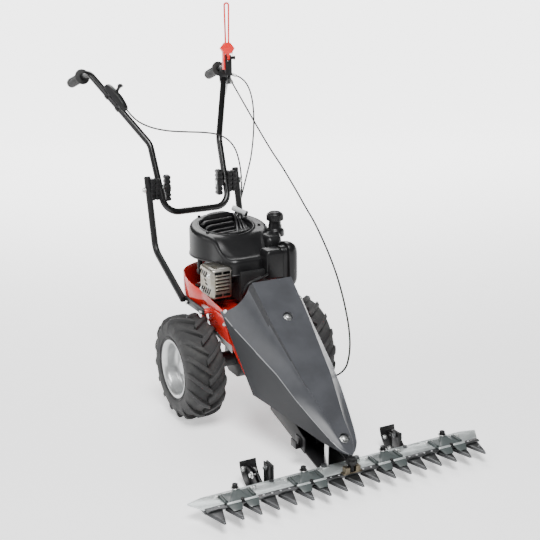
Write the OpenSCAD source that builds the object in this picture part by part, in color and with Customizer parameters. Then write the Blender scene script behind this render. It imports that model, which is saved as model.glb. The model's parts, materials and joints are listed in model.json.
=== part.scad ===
// Walk-behind sickle bar mower: engine on a sheet-metal chassis, two wheels, a reciprocating knife bar.
// Millimetres, +Z up, the bar faces -Y, the ground is at z = 0.

/* [Wheels] */
// Distance between the middles of the two tyres
track_w = 386; // [376:1:410]
// Outer radius of a tyre over its lugs
tyre_r = 165; // [158:1:172]
// Width of a tyre
tyre_w = 125; // [116:1:130]
// Height of a tread lug
lug_h = 14; // [10:1:18]
// Number of lugs on each side of a tyre
lug_count = 16; // [12:1:20]
// Thickness of a tread lug
lug_t = 17; // [12:1:20]
// Radius of the rim under the tyre bead
rim_r = 80; // [76:1:84]
// Width of the rim over its lips
rim_w = 104; // [98:1:108]
// Height of a rim lip above the bead
lip_h = 8; // [5:1:10]
// Thickness of the rim steel
rim_wall = 3; // [2:0.5:4]
// Radius of the drive axle
axle_r = 12.5; // [11:0.5:14]

/* [Cutter bar] */
// Distance between neighbouring teeth
tooth_pitch = 51; // [50:0.5:52]
// Reach of the tooth tips ahead of the axle
tip_reach = 713; // [705:1:725]
// Length of a tooth ahead of the comb
tooth_len = 68; // [60:1:72]
// Height of the comb's underside above the ground
comb_z = 31; // [31:0.5:36]
// Thickness of a comb tooth
comb_t = 6; // [5:0.5:7]
// Thickness of a knife section
knife_t = 3; // [2:0.5:4]
// Thickness of the galvanised back plate
plate_t = 6; // [5:0.5:8]
// Depth of the back plate from rear to front
plate_d = 57; // [54:1:62]
// Half stroke of the knife
half_stroke = 25; // [20:0.5:25]
// Gap between the knife and what it slides along
knife_gap = 0.4; // [0.3:0.1:0.6]

/* [Front cover] */
// Wall of the moulded cover
cover_wall = 3; // [2.5:0.5:4]
// Half width of the cover at its rear corners
cover_half_w = 141; // [139:1:150]
// Radius of the round recess at a cover bolt
recess_r = 17; // [15:1:18]

/* [Chassis] */
// Radius of the engine pan
pan_r = 150; // [146:1:150]
// Height of the pan's floor above the ground
deck_z = 352; // [350:1:356]
// Thickness of the chassis sheet
sheet_t = 3; // [2.5:0.5:4]
// Half width of the carrier arm
carrier_half_w = 60; // [56:1:64]
// Thickness of the carrier arm's plate
carrier_t = 6; // [5:0.5:8]

/* [Engine] */
// Distance of the crankshaft behind the axle
crank_back = 105; // [104:1:110]
// Radius of the crankshaft
crank_r = 12.5; // [11:0.5:13]
// Radius of the blower housing
blower_r = 122; // [118:1:124]
// Height of the blower housing's lower edge above the pan's floor
blower_lift = 135; // [132:1:140]
// Height of the blower housing's side
blower_h = 81; // [76:1:86]
// Radius of the fuel cap
cap_r = 26; // [22:1:28]

/* [Belt drive] */
// Height of the knife belt above the ground
knife_belt_z = 278; // [276:1:280]
// Height of the traction belt above the ground
drive_belt_z = 250; // [248:1:252]
// Reach of the knife shaft ahead of the axle
shaft_reach = 330; // [326:1:334]
// Radius of the knife shaft and of the gearbox input
shaft_r = 10; // [8:0.5:11]
// Throw of the eccentric that swings the rocker
throw_r = 20; // [16:0.5:20]
// Reach of the rocker's pivot ahead of the axle
pivot_reach = 470; // [466:1:476]
// Thickness of a belt
belt_t = 8; // [6:0.5:9]
// Height of a belt
belt_h = 9; // [8:0.5:9.5]

/* [Handle] */
// Radius of the handle tubes
tube_r = 11; // [10:0.5:11]
// Wall of the handle tubes
tube_wall = 2; // [1.5:0.5:3]
// Half distance between the lower tubes
lower_half_w = 162; // [162:1:168]
// Half width across the grips at their ends
grip_half_w = 268; // [255:1:285]
// Height of the grip ends
grip_z = 965; // [940:1:990]
// Distance of the grip ends behind the axle
grip_back = 838; // [815:1:860]
// Height of the clamp studs
clamp_z = 652; // [646:1:658]
// Radius of the clamp studs
stud_r = 4; // [3:0.5:5]
// Radius of a grip
grip_r = 16; // [14:1:18]
// Length of a grip
grip_len = 125; // [110:1:130]

/* [Fits] */
// Radial clearance of a turning fit
run_fit = 0.06; // [0.03:0.01:0.09]
// Gap between pieces that seat on each other
seat_gap = 0.3; // [0.2:0.1:0.4]

/* [Hidden] */
$fn = 64;

// Stations along the machine, from the axle
axle_z = tyre_r;
crank_y = crank_back;
shaft_y = -shaft_reach;
pivot_y = -pivot_reach;
deck_top = deck_z + sheet_t;

// Levels and stations of the cutter bar
tooth_count = 17;
tooth_root_y = -(tip_reach - tooth_len);
comb_top = comb_z + comb_t;
knife_z = comb_top + knife_gap;
knife_top = knife_z + knife_t;
ledge_z = knife_top;
plate_top = ledge_z + plate_t;
back_d = 15;
plate_front = tooth_root_y + 4;
plate_rear = plate_front + plate_d;
knife_rear = plate_front - knife_gap;
back_front = knife_rear - back_d;
plate_half_w = tooth_pitch * tooth_count / 2;
holder_x = [for (k = [2.5, 6.5]) k * tooth_pitch];
holder_bolt_y = plate_front + 31;
skid_x = 4.5 * tooth_pitch;
joint_x = carrier_half_w - 8;
joint_y = plate_rear - 7.5;

// Path of the handle tubes, right side
bend_pt = [grip_half_w - 12, grip_back - 178, grip_z + 52];
grip_pt = [grip_half_w, grip_back, grip_z];
elbow_pt = [lower_half_w - 35, 443, 792];
corner_pt = [lower_half_w - 45, 350, 574];
clamp_pt = corner_pt + (elbow_pt - corner_pt) * (clamp_z - corner_pt[2]) / (elbow_pt[2] - corner_pt[2]);
kink_pt = [lower_half_w, 340, 455];
stud_pt = [lower_half_w, clamp_pt[1], clamp_z];
lower_top = stud_pt + unit(stud_pt - kink_pt) * 40;
foot_z = 2 * tyre_r + 16;
foot_h = 24;
foot_t = 5;
foot_x = pan_r + 1;
foot_pt = [foot_x + tube_r, 112, foot_z];
foot_bolt_ys = [92, -18];
foot_bolt_z = foot_z - 4;
grip_dir = unit(grip_pt - bend_pt);
lever_dir = unit(bend_pt - elbow_pt);

// Middle of the machine from the tooth tips to the grip ends
grip_rim = grip_r * sqrt(1 - grip_dir[1] * grip_dir[1]);
mid_y = (grip_back + grip_rim - tip_reach) / 2;

function unit(v) = v / norm(v);
function flip(p) = [for (i = [len(p) - 1 : -1 : 0]) p[i]];
function mirrored(p) = [-p[0], p[1], p[2]];
function turn(a, b, c) = acos(unit(b - a) * unit(c - b));

// Moves what is drawn from the axle to the middle of the machine
module placed() translate([0, -mid_y, 0]) children();
module both_sides() {
    children();
    mirror([1, 0, 0]) children();
}
module along(a, b) {
    v = b - a;
    translate(a) rotate([0, acos(v[2] / norm(v)), atan2(v[1], v[0])]) children();
}
module rod(a, b, r) along(a, b) cylinder(h = norm(b - a), r = r);
module pipe(a, b, r, bore) along(a, b) linear_extrude(norm(b - a)) tube_section(r, bore);
module tube_section(r, bore) difference() {
    circle(r);
    if (bore > 0) circle(bore);
}
module slab(x0, x1, y0, y1, z0, z1) translate([x0, y0, z0]) cube([x1 - x0, y1 - y0, z1 - z0]);
// Plate drawn as an outline in Y and Z, from x0 to x1
module side_plate(x0, x1, outline) translate([x0, 0, 0]) rotate([90, 0, 90]) linear_extrude(x1 - x0)
    polygon(outline);
module disc(x, y, z0, z1, r) translate([x, y, z0]) cylinder(h = z1 - z0, r = r);
module cross_rod(x0, x1, y, z, r) translate([x0, y, z]) rotate([0, 90, 0]) cylinder(h = x1 - x0, r = r);

// One round bend of a tube at b, between a and c
module elbow(a, b, c, r, bore, bend) {
    u = unit(b - a);
    v = unit(c - b);
    w = unit(v - u * (u * v));
    t = turn(a, b, c);
    o = b - u * bend * tan(t / 2) + w * bend;
    z = cross(-w, u);
    multmatrix([[-w[0], u[0], z[0], o[0]], [-w[1], u[1], z[1], o[1]], [-w[2], u[2], z[2], o[2]]])
        rotate_extrude(angle = t) translate([bend, 0]) tube_section(r, bore);
}
// Tube through the points p, bent at each to its own radius; a bend swells a little over the straight ends
bend_lap = 1;
bend_swell = 0.15;
module bent_tube(p, r, bore, bends) {
    n = len(p) - 1;
    cut = [for (i = [0 : n]) i == 0 || i == n ? 0 : bends[i] * tan(turn(p[i - 1], p[i], p[i + 1]) / 2)];
    for (i = [0 : n - 1]) {
        u = unit(p[i + 1] - p[i]);
        pipe(p[i] + u * (i > 0 ? cut[i] - bend_lap : 0),
            p[i + 1] - u * (i < n - 1 ? cut[i + 1] - bend_lap : 0), r, bore);
    }
    for (i = [1 : n - 1]) elbow(p[i - 1], p[i], p[i + 1], r + bend_swell, max(bore - bend_swell, 0),
        bends[i]);
}

// Wheels, drawn round Z and turned onto the axle
module on_axle(side) placed() translate([side * track_w / 2, 0, axle_z])
    rotate([0, side * 90, 0]) children();
module tyre() {
    half = tyre_w / 2;
    crown = tyre_r - lug_h;
    bead = rim_r + seat_gap;
    bead_half = rim_w / 2 - rim_wall - seat_gap;
    skin = 9;
    outer = [[bead, bead_half], [rim_r + lip_h + 2 * seat_gap, bead_half], [bead + 14, half - 5],
        [bead + 36, half], [crown - 16, half - 4],
        [crown, half - 20]];
    inner = [[bead, bead_half - skin], [bead + 14, half - 5 - skin], [bead + 36, half - skin],
        [crown - 16 - skin, half - 4 - skin], [crown - skin, half - 20]];
    section = concat(outer, [for (p = flip(outer)) [p[0], -p[1]]], [for (p = inner) [p[0], -p[1]]],
        flip(inner));
    tread = [[crown - 4, half - 22], [crown - 18, half - 3], [tyre_r - 12, half - 3], [tyre_r, half - 16]];
    rotate_extrude() polygon(section);
    intersection() {
        for (i = [0 : lug_count - 1], s = [-1, 1]) rotate([0, 0, 360 / lug_count * (i + s / 4)])
            translate([crown - 20, 0, 0]) rotate([0, 90, 0]) linear_extrude(lug_h + 40)
                polygon([[s * 4, -lug_t / 2], [s * 4, lug_t / 2], [-s * half, lug_t / 2 + 36],
                    [-s * half, 36 - lug_t / 2]]);
        rotate_extrude() polygon(concat(tread, [for (p = flip(tread)) [p[0], -p[1]]]));
    }
}
module rim() {
    half = rim_w / 2;
    lip = rim_r + lip_h;
    in_r = rim_r - rim_wall;
    hub_r = axle_r + 14;
    bore = axle_r + run_fit;
    face = 14;
    rotate_extrude() polygon([[bore, -30], [hub_r, -30], [hub_r, face - 2 * rim_wall],
        [in_r, face - rim_wall], [in_r, -half],
        [lip, -half], [lip, rim_wall - half], [rim_r, rim_wall - half], [rim_r, half - rim_wall],
        [lip, half - rim_wall], [lip, half], [in_r, half], [in_r, face], [hub_r, face - rim_wall],
            [hub_r, 24],
        [bore, 24]]);
    for (a = [45 : 90 : 315]) rotate([0, 0, a]) translate([52, 0, face - 2])
        cylinder(h = 9, r = 9, $fn = 6);
}
module tyre_left() color("#3c3c3c") on_axle(-1) tyre();
module tyre_right() color("#3c3c3c") mirror([1, 0, 0]) on_axle(-1) tyre();
module rim_left() color("#c8c8c6") on_axle(-1) rim();
module rim_right() color("#c8c8c6") on_axle(1) rim();
module drive_axle() color("#8a8a8a") placed() {
    reach = track_w / 2 + 24;
    cross_rod(-reach - 1, reach + 1, 0, axle_z, axle_r);
    both_sides() cross_rod(reach + seat_gap, reach + 6, 0, axle_z, axle_r + 6);
}

// Chassis: a tapered tub of sheet metal under the engine
tub_front = -290;
tub_front_half_w = 101;
neck_y = 20;
neck_half_w = 132;
rim_back_z = 424;
saddle_half_w = 88;
saddle_z = drive_belt_z - 22;
idler_pin_r = 6;
knife_idler_pt = [105, -40];
drive_idler_pt = [-78, crank_y + 38];
engine_bolt = 75;
saddle_front = -60;
saddle_rear = 30;
gearbox_bolts = [[50, -30], [50, 12]];
carrier_bolts = [[45, 185], [45, 210]];

module tub_outline(inset) {
    translate([0, crank_y]) circle(r = pan_r - inset);
    polygon([[inset - neck_half_w, crank_y], [neck_half_w - inset, crank_y], [neck_half_w - inset, neck_y],
        [tub_front_half_w - inset, tub_front + inset], [inset - tub_front_half_w, tub_front + inset],
        [inset - neck_half_w, neck_y]]);
}
function tub_half_w(y) = y > neck_y ? sqrt(pan_r * pan_r - (y - crank_y) * (y - crank_y))
    : neck_half_w - (neck_half_w - tub_front_half_w) * (neck_y - y) / (neck_y - tub_front);
module idler_post(p, z) {
    disc(p[0], p[1], z, deck_top, 9);
    disc(p[0], p[1], z - 9, z, idler_pin_r);
}
// Arch across the tub that carries the cover's upper bolt
module cover_arch() {
    arch = [[101, 205], [101, 270], [50, 360]];
    gap = [[76, 205], [76, 262], [36, 342]];
    translate([0, -270, 0]) rotate([90, 0, 0]) linear_extrude(5) polygon(concat(arch,
        [for (p = flip(arch)) [-p[0], p[1]]], [for (p = gap) [-p[0], p[1]]], flip(gap)));
    on_panel(upper_bolt) translate([0, 0, -40]) cylinder(h = 40 - cup_d - seat_gap, r = 9);
}
module chassis_frame() color("#d81e14") placed() {
    skirt_z = deck_z - 22;
    front_arc = [0, -17];
    front_arc_r = 171;
    difference() {
        union() {
            intersection() {
                linear_extrude(rim_back_z) difference() {
                    tub_outline(0);
                    tub_outline(sheet_t);
                }
                side_plate(-pan_r, pan_r, [[crank_y + pan_r, rim_back_z], [150, rim_back_z],
                    [-119, deck_z + 6],
                    [tub_front, 225], [tub_front, 165], [-250, 168], [-135, 270], [-60, 285],
                        [-40, skirt_z],
                    [crank_y + pan_r, skirt_z]]);
            }
            translate([0, 0, deck_z]) linear_extrude(sheet_t) intersection() {
                tub_outline(0);
                translate([-pan_r, -170]) square([2 * pan_r, 170 + crank_y + pan_r]);
            }
            translate([0, 0, deck_z]) linear_extrude(22) intersection() {
                tub_outline(0);
                translate([-pan_r, -200]) square([2 * pan_r, 90]);
                translate(front_arc) difference() {
                    circle(front_arc_r);
                    circle(front_arc_r - sheet_t);
                }
            }
            for (s = [-1, 1]) slab(s * saddle_half_w - 3, s * saddle_half_w + 3, saddle_front,
                saddle_rear, saddle_z, deck_top);
            slab(-saddle_half_w, saddle_half_w, saddle_front, saddle_rear, saddle_z, saddle_z + 4);
            both_sides() for (y = foot_bolt_ys) cross_rod(tub_half_w(y) - 2, foot_x - seat_gap, y,
                foot_bolt_z, 9);
            cover_arch();
            translate([traction_end[0], traction_end[1] - 11, traction_end[2]]) rotate([90, 0, 0])
                cylinder(h = 20, r = 9);
            idler_post(knife_idler_pt, knife_belt_z + 14);
            idler_post(drive_idler_pt, drive_belt_z + 14);
        }
        disc(0, crank_y, deck_z - 1, deck_top + 1, crank_r + 12);
        on_panel(upper_bolt) translate([0, 0, -50]) cylinder(h = 60, r = 4 + seat_gap);
        translate(traction_end) rotate([90, 0, 0]) cylinder(h = 60, r = 3);
        disc(0, 0, saddle_z - 1, saddle_z + 5, 26);
        for (y = foot_bolt_ys) cross_rod(-foot_x, foot_x, y, foot_bolt_z, stud_r + seat_gap);
        for (x = [-1, 1], y = [-1, 1]) disc(x * engine_bolt, crank_y + y * engine_bolt, deck_z - 1,
            deck_top + 1, 4 + seat_gap);
        both_sides() for (b = gearbox_bolts) disc(b[0], b[1], saddle_z - 1, saddle_z + 5, 4 + seat_gap);
        both_sides() for (b = carrier_bolts) rotate([90, 0, 0]) translate([b[0], b[1], -tub_front - 10])
            cylinder(h = 20, r = 5);
    }
}
module side_guards() color("#c9ccc8") placed() both_sides() {
    taper = atan((neck_half_w - tub_front_half_w) / (neck_y - tub_front));
    translate([neck_half_w, neck_y, 0]) rotate([0, 0, -taper])
        side_plate(seat_gap, 3, [[-66, 300], [-70, 278], [-172, 244], [-170, 266]]);
}

// Carrier arm: channel from the chassis down to the cutter bar
carrier_rear = tub_front;
carrier_rear_z = 108;
rocker_z = 118;
rocker_t = 8;
pivot_r = 8;
bridge_z = 152;
comb_rear = plate_rear - 16;
module carrier_arm() color("#222426") placed() {
    w = carrier_half_w;
    flange_z = ledge_z - carrier_t;
    slope_end = plate_rear + 14;
    difference() {
        union() {
            side_plate(-w, w, [[carrier_rear, carrier_rear_z], [slope_end, ledge_z - seat_gap],
                [comb_rear + 1, ledge_z - seat_gap],
                [comb_rear + 1, flange_z], [slope_end - 2, flange_z],
                    [carrier_rear, carrier_rear_z - carrier_t]]);
            side_plate(-w, w, [[carrier_rear - seat_gap, carrier_rear_z - carrier_t],
                [carrier_rear - seat_gap, 222],
                [carrier_rear - 6, 222], [carrier_rear - 6, carrier_rear_z - carrier_t]]);
            for (s = [-1, 1]) side_plate(s * w - 2, s * w + 2,
                [[carrier_rear - 3, carrier_rear_z], [carrier_rear - 3, 160],
                [shaft_y - 32, 160], [pivot_y - 30, 95], [pivot_y - 30, 50], [carrier_rear - 3, 104]]);
            slab(-w, w, shaft_y - 32, carrier_rear - 3, bridge_z, bridge_z + 8);
            disc(0, shaft_y, bridge_z - 8, bridge_z + 38, shaft_r + 14);
            disc(0, pivot_y, 62, rocker_z - seat_gap, 14);
            disc(0, pivot_y, 62, rocker_z + rocker_t + 10, pivot_r);
        }
        disc(0, shaft_y, bridge_z - 20, bridge_z + 60, shaft_r + run_fit);
        both_sides() for (b = carrier_bolts) rotate([90, 0, 0]) translate([b[0], b[1], -tub_front - 10])
            cylinder(h = 30, r = 5);
        both_sides() disc(joint_x, joint_y, 20, 60, 5 + seat_gap);
    }
}

// Front cover: a shell lofted through sections along Y
panel_slope = 38;
upper_bolt = [0, -293, 387];
nose_bolt = [0, -615, 134];
cup_d = 13;
cup_wall = 3;
cable_hole = [-394, 217];
cover_y = [-119, -150, -190, -240, -293, -345, -395, -440, -485, -530, -570, -600, -622, -638, -648];
function panel_x(y) = lookup(y, [[-648, 5], [-638, 14], [-622, 19], [-573, 22], [-525, 32], [-460, 46],
    [-295, 62], [-191, 66]]);
function panel_z(y) = lookup(y, [[-648, 104], [-638, 114], [-615, 134], [-293, 387], [-191, 468],
    [-119, 525]]);
function ridge_x(y) = lookup(y, [[-648, 8], [-638, 22], [-626, 32], [-593, 44], [-532, 61], [-468, 77],
    [-390, 91],
    [-119, cover_half_w]]);
function ridge_z(y) = lookup(y, [[-648, 102], [-626, 119], [-468, 210], [-390, 255], [-186, 338],
    [-119, 372]]);
function rail_z(y) = lookup(y, [[-648, 98], [-626, 108], [-578, 113], [-500, 128], [-390, 143],
    [-285, 153]]);
// Half section of the cover at y, drawn in by d, with its foot lowered by drop
function cover_half(y, d, drop) = concat([[0, panel_z(y) - 1.2 * d]], [for (t = [0, 0.25, 0.5, 0.75, 1])
    [max(panel_x(y) - d / 2 + (ridge_x(y) - d / 2 - panel_x(y)) * pow(t, 1.7), 1 + t),
        panel_z(y) - 1.2 * d + (ridge_z(y) - d / 4 - panel_z(y) + 1.2 * d) * t]],
    [[max(ridge_x(y) - d, 2), rail_z(y) - drop]]);
function cover_ring(y, d, drop, shift) = let (h = cover_half(y, d, drop))
    concat([for (p = flip(h)) [p[0], y + shift, p[1]]],
        [for (i = [1 : len(h) - 1]) [-h[i][0], y + shift, h[i][1]]]);
module cover_loft(d, drop, shift, rear) {
    rings = [for (i = [0 : len(cover_y) - 1]) cover_ring(cover_y[i], d, drop,
        i == 0 ? rear : i == len(cover_y) - 1 ? shift : 0)];
    n = len(rings[0]);
    last = (len(rings) - 1) * n;
    sides = [for (k = [0 : len(rings) - 2], i = [0 : n - 1]) let (a = k * n + i, b = k * n + (i + 1) % n)
        each [[a, b + n, b], [a, a + n, b + n]]];
    ends = concat([for (i = [1 : n - 2]) [0, i, i + 1]],
        [for (i = [1 : n - 2]) [last, last + i + 1, last + i]]);
    polyhedron(points = [for (r = rings) each r], faces = concat(sides, ends));
}
module on_panel(p) translate(p) rotate([panel_slope, 0, 0]) children();
module front_cover() color("#55575c") placed() difference() {
    union() {
        difference() {
            cover_loft(0, 0, 0, 0);
            cover_loft(cover_wall, 30, cover_wall, 10);
        }
        for (p = [upper_bolt, nose_bolt]) on_panel(p) translate([0, 0, -cup_d])
            cylinder(h = cup_d, r = recess_r + cup_wall);
    }
    translate([0, -17, 340]) cylinder(h = 260, r = 174);
    side_plate(-200, 200, [[-121, 380], [-285, 140], [-285, 90], [-100, 90], [-100, 380]]);
    for (p = [upper_bolt, nose_bolt]) {
        on_panel(p) translate([0, 0, cup_wall - cup_d]) cylinder(h = 40, r = recess_r);
        on_panel(p) translate([0, 0, -20]) cylinder(h = 40, r = 4 + seat_gap);
    }
    cross_rod(70, 110, cable_hole[0], cable_hole[1], 5 + seat_gap);
}
module cover_bolts() color("#c9ccc8") placed() {
    washer_t = 2;
    for (p = [upper_bolt, nose_bolt]) on_panel(p) translate([0, 0, cup_wall - cup_d + seat_gap]) {
        cylinder(h = washer_t, r = 12);
        translate([0, 0, washer_t]) cylinder(h = 6, r = 8, $fn = 6);
        translate([0, 0, -14]) cylinder(h = 15, r = 4);
    }
}
// Zinc stay that holds the cover's nose above the driving arm
module nose_stay() color("#b9bdba") placed() {
    leg_x = 37;
    difference() {
        union() {
            both_sides() {
                slab(leg_x, leg_x + 3, plate_rear - 8, plate_rear + 12, plate_top + seat_gap, 118);
                slab(leg_x, carrier_half_w, joint_y - 8, plate_rear, plate_top + seat_gap,
                    plate_top + 3 + seat_gap);
                slab(12, leg_x + 3, plate_rear - 8, plate_rear + 12, 115, 118);
            }
            slab(-14, 14, nose_bolt[1] + 2, plate_rear + 12, 115, 118);
            on_panel(nose_bolt) translate([0, 0, -24]) cylinder(h = 24 - cup_d - seat_gap, r = 9);
        }
        on_panel(nose_bolt) translate([0, 0, -40]) cylinder(h = 60, r = 4 + seat_gap);
        both_sides() disc(joint_x, joint_y, plate_top - 5, plate_top + 10, 5 + seat_gap);
    }
}

// Gearbox between the wheels, hung from the saddle
module gearbox_housing() color("#2b2d2f") placed() difference() {
    union() {
        intersection() {
            slab(-45, 45, -58, 58, axle_z - 55, axle_z + 45);
            cross_rod(-45, 45, 0, axle_z, 64);
        }
        cross_rod(-100, 100, 0, axle_z, axle_r + 12);
        disc(0, 0, axle_z + 20, saddle_z - seat_gap, 32);
        slab(-60, 60, -42, 24, saddle_z - 10, saddle_z - seat_gap);
        disc(0, 0, saddle_z - 10, saddle_z + 8, 24);
    }
    both_sides() for (b = gearbox_bolts) disc(b[0], b[1], saddle_z - 20, saddle_z + 5, 4 + seat_gap);
    cross_rod(-110, 110, 0, axle_z, axle_r + run_fit);
    disc(0, 0, axle_z + 24, saddle_z + 20, shaft_r + run_fit);
}

// Belt drive
function groove(r, z) = [[r + 10, z - 5.5], [r, z - belt_h / 2 - 0.4], [r, z + belt_h / 2 + 0.4],
    [r + 10, z + 5.5]];
module pulley(bore, hub, levels, radii, z0, z1) rotate_extrude()
    polygon(concat([[bore, z0], [radii[0] + 10, z0]],
    [for (i = [0 : len(levels) - 1]) each groove(radii[i], levels[i])],
        [[radii[len(radii) - 1] + 10, z1], [hub, z1],
    [hub, z1 + 6], [bore, z1 + 6]]));
engine_groove = [27, 33];
knife_groove = 56;
drive_groove = 49;
module engine_pulley() color("#6e7072") placed() translate([0, crank_y, 0])
    pulley(crank_r + run_fit, crank_r + 8, [drive_belt_z, knife_belt_z], engine_groove, drive_belt_z - 10,
        knife_belt_z + 10);
module gearbox_pulley() color("#6e7072") placed() {
    pulley(shaft_r + run_fit, shaft_r + 6, [drive_belt_z], [drive_groove], drive_belt_z - 10,
        drive_belt_z + 10);
    disc(0, 0, axle_z + 28, drive_belt_z + 10, shaft_r);
}
module knife_shaft() color("#6e7072") placed() translate([0, shaft_y, 0]) {
    pulley(shaft_r + run_fit, shaft_r + 6, [knife_belt_z], [knife_groove], knife_belt_z - 10,
        knife_belt_z + 10);
    pin_z = rocker_z + rocker_t + knife_gap;
    disc(0, 0, pin_z + 8, knife_belt_z + 10, shaft_r);
    disc(0, 0, pin_z + 8, bridge_z - 9, throw_r + 8);
    disc(0, -throw_r, pin_z, pin_z + 9, 7);
}
// Outline of a belt round two pulleys on the Y axis
module belt_outline(y1, r1, y2, r2) {
    s = (r2 - r1) / (y2 - y1);
    c = sqrt(1 - s * s);
    translate([0, y1]) circle(r1);
    translate([0, y2]) circle(r2);
    polygon([[r1 * c, y1 - r1 * s], [r2 * c, y2 - r2 * s], [-r2 * c, y2 - r2 * s], [-r1 * c, y1 - r1 * s]]);
}
module belt(y1, r1, y2, r2, z) translate([0, 0, z - belt_h / 2]) linear_extrude(belt_h) difference() {
    belt_outline(y1, r1 + belt_t + seat_gap, y2, r2 + belt_t + seat_gap);
    belt_outline(y1, r1 + seat_gap, y2, r2 + seat_gap);
}
module belts() color("#262626") placed() {
    belt(shaft_y, knife_groove, crank_y, engine_groove[1], knife_belt_z);
    belt(0, drive_groove, crank_y, engine_groove[0], drive_belt_z);
}
// Tensioner: an arm on a pin with a roller beside the belt
module idler(pin, roller, roller_r, z) {
    difference() {
        union() {
            disc(pin[0], pin[1], z + 5.5, z + 14 - seat_gap, idler_pin_r + 6);
            along([pin[0], pin[1], z + 9], [roller[0], roller[1], z + 9]) translate([-4, -6, 0])
                cube([7, 12, norm(roller - pin)]);
            disc(roller[0], roller[1], z - 8, z + 13, 5);
        }
        disc(pin[0], pin[1], z - 10, z + 20, idler_pin_r + run_fit);
    }
    difference() {
        disc(roller[0], roller[1], z - 7, z + 4.5, roller_r);
        disc(roller[0], roller[1], z - 10, z + 10, 5 + run_fit);
    }
}
module knife_idler() color("#55585a") placed() idler(knife_idler_pt, [86, -120], 22, knife_belt_z);
module traction_idler() color("#55585a") placed() idler(drive_idler_pt, [-71.5, crank_y - 45], 18,
    drive_belt_z);

// Rocker that turns the eccentric's throw into the knife's stroke
eye_y = (knife_rear + back_front) / 2;
module rocker_arm() color("#34373a") placed() {
    boss_r = 20;
    arm = [[pivot_y, rocker_z], [pivot_y, rocker_z + rocker_t], [pivot_y - boss_r, rocker_z + rocker_t],
        [eye_y + 10, 84], [eye_y + 10, 76], [pivot_y - boss_r, rocker_z]];
    difference() {
        union() {
            slab(-14, 14, pivot_y, shaft_y + 14, rocker_z, rocker_z + rocker_t);
            disc(0, pivot_y, rocker_z, rocker_z + rocker_t + 4, boss_r);
            side_plate(-11, 11, arm);
            disc(0, eye_y, 74, 84, 16);
            disc(0, eye_y, 52, 84, driver_pin_r);
            translate([0, eye_y, 84]) cylinder(h = 8, r = 12, $fn = 6);
        }
        disc(0, pivot_y, rocker_z - 5, rocker_z + 30, pivot_r + run_fit);
        slab(-7.4, 7.4, shaft_y - throw_r - 9, shaft_y + 9, rocker_z - 1, rocker_z + rocker_t + 1);
    }
}

// Engine on the pan
block_z = deck_top + seat_gap;
barrel_z = block_z + 65;
blower_z = deck_z + blower_lift;
blower_top = blower_z + blower_h;
blower_wall = 3;
opening_r = 84;
module at_crank() placed() translate([0, crank_y, 0]) children();
module engine_block() color("#5d6062") at_crank() difference() {
    ear_h = 10;
    fin_pitch = 9;
    union() {
        cylinder_at(block_z, barrel_z + 20, 88);
        cylinder_at(barrel_z, blower_z - seat_gap, 40);
        for (x = [-1, 1], y = [-1, 1]) disc(x * engine_bolt, y * engine_bolt, block_z, block_z + ear_h, 15);
        cylinder_at(block_z, block_z + 8, 100);
        translate([0, 0, barrel_z]) rotate([90, 0, 0]) cylinder(h = 172, r = 36);
        for (i = [0 : 8]) slab(-48, 48, -170 + fin_pitch * i, -167 + fin_pitch * i, barrel_z - 48,
            barrel_z + 48);
        slab(-50, 50, -190, -172, barrel_z - 50, barrel_z + 50);
        slab(30, 130, -118, -72, barrel_z + 42, blower_z - 12 - seat_gap);
        slab(50, throttle_end[0] - seat_gap, 45, 73, barrel_z + 4, barrel_z + 20);
        slab(-112, 112, -9, 9, barrel_z + 6, barrel_z + 20);
        for (x = [-104, 104]) disc(x, 0, barrel_z + 6, blower_z - seat_gap, 8);
    }
    cylinder_at(block_z - 5, blower_z + 5, crank_r + run_fit);
    for (x = [-1, 1], y = [-1, 1]) disc(x * engine_bolt, y * engine_bolt, block_z - 5, block_z + 30,
        4 + seat_gap);
    translate([0, -200, barrel_z + 10]) rotate([-90, 0, 0]) cylinder(h = 25, r = 7 + run_fit);
}
module cylinder_at(z0, z1, r) disc(0, 0, z0, z1, r);
module crankshaft() color("#9a9c9e") at_crank() cylinder_at(drive_belt_z - 12, blower_top - 12, crank_r);
module flywheel() color("#4a4c4e") at_crank() difference() {
    union() {
        cylinder_at(blower_z + 5, blower_z + 17, 100);
        cylinder_at(blower_z + 5, blower_z + 53, 30);
        for (a = [0 : 22.5 : 359]) rotate([0, 0, a]) slab(58, 98, -1.5, 1.5, blower_z + 16, blower_z + 47);
    }
    cylinder_at(blower_z, blower_z + 80, crank_r + run_fit);
}
// Outline of the blower housing in plan and from the side, drawn in by d
hood_front = -180;
hood_half_w = 74;
function hood_plan(d) = [[d - blower_r + 10, 10], [blower_r - 10 - d, 10],
    [hood_half_w + 12 - d, hood_front + 40],
    [hood_half_w - d, hood_front + d], [d - hood_half_w, hood_front + d],
        [d - hood_half_w - 12, hood_front + 40]];
function blower_side(d) = [[blower_r + 1, blower_z - d], [blower_r + 1, blower_top - 12 - d],
    [blower_r - 18, blower_top - d],
    [-blower_r + 40, blower_top - d], [hood_front, blower_z + 38 - d], [hood_front, blower_z - 4 - d],
    [-blower_r, blower_z - d]];
module blower_solid(d) intersection() {
    union() {
        cylinder_at(blower_z - 20, blower_top + 10, blower_r - d);
        translate([0, 0, blower_z - 20]) linear_extrude(blower_h + 30) polygon(hood_plan(d));
    }
    side_plate(-blower_r - 5, blower_r + 5, blower_side(d));
}
module blower_housing() color("#2e2e2f") at_crank() difference() {
    blower_solid(0);
    difference() {
        blower_solid(blower_wall);
        for (x = [-122, 92]) slab(x, x + 30, -12, 12, blower_z - 5, blower_z + 4);
    }
    cylinder_at(blower_z, blower_top + 20, opening_r);
    cylinder_at(blower_z - 10, blower_z + 10, 46);
}
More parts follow.
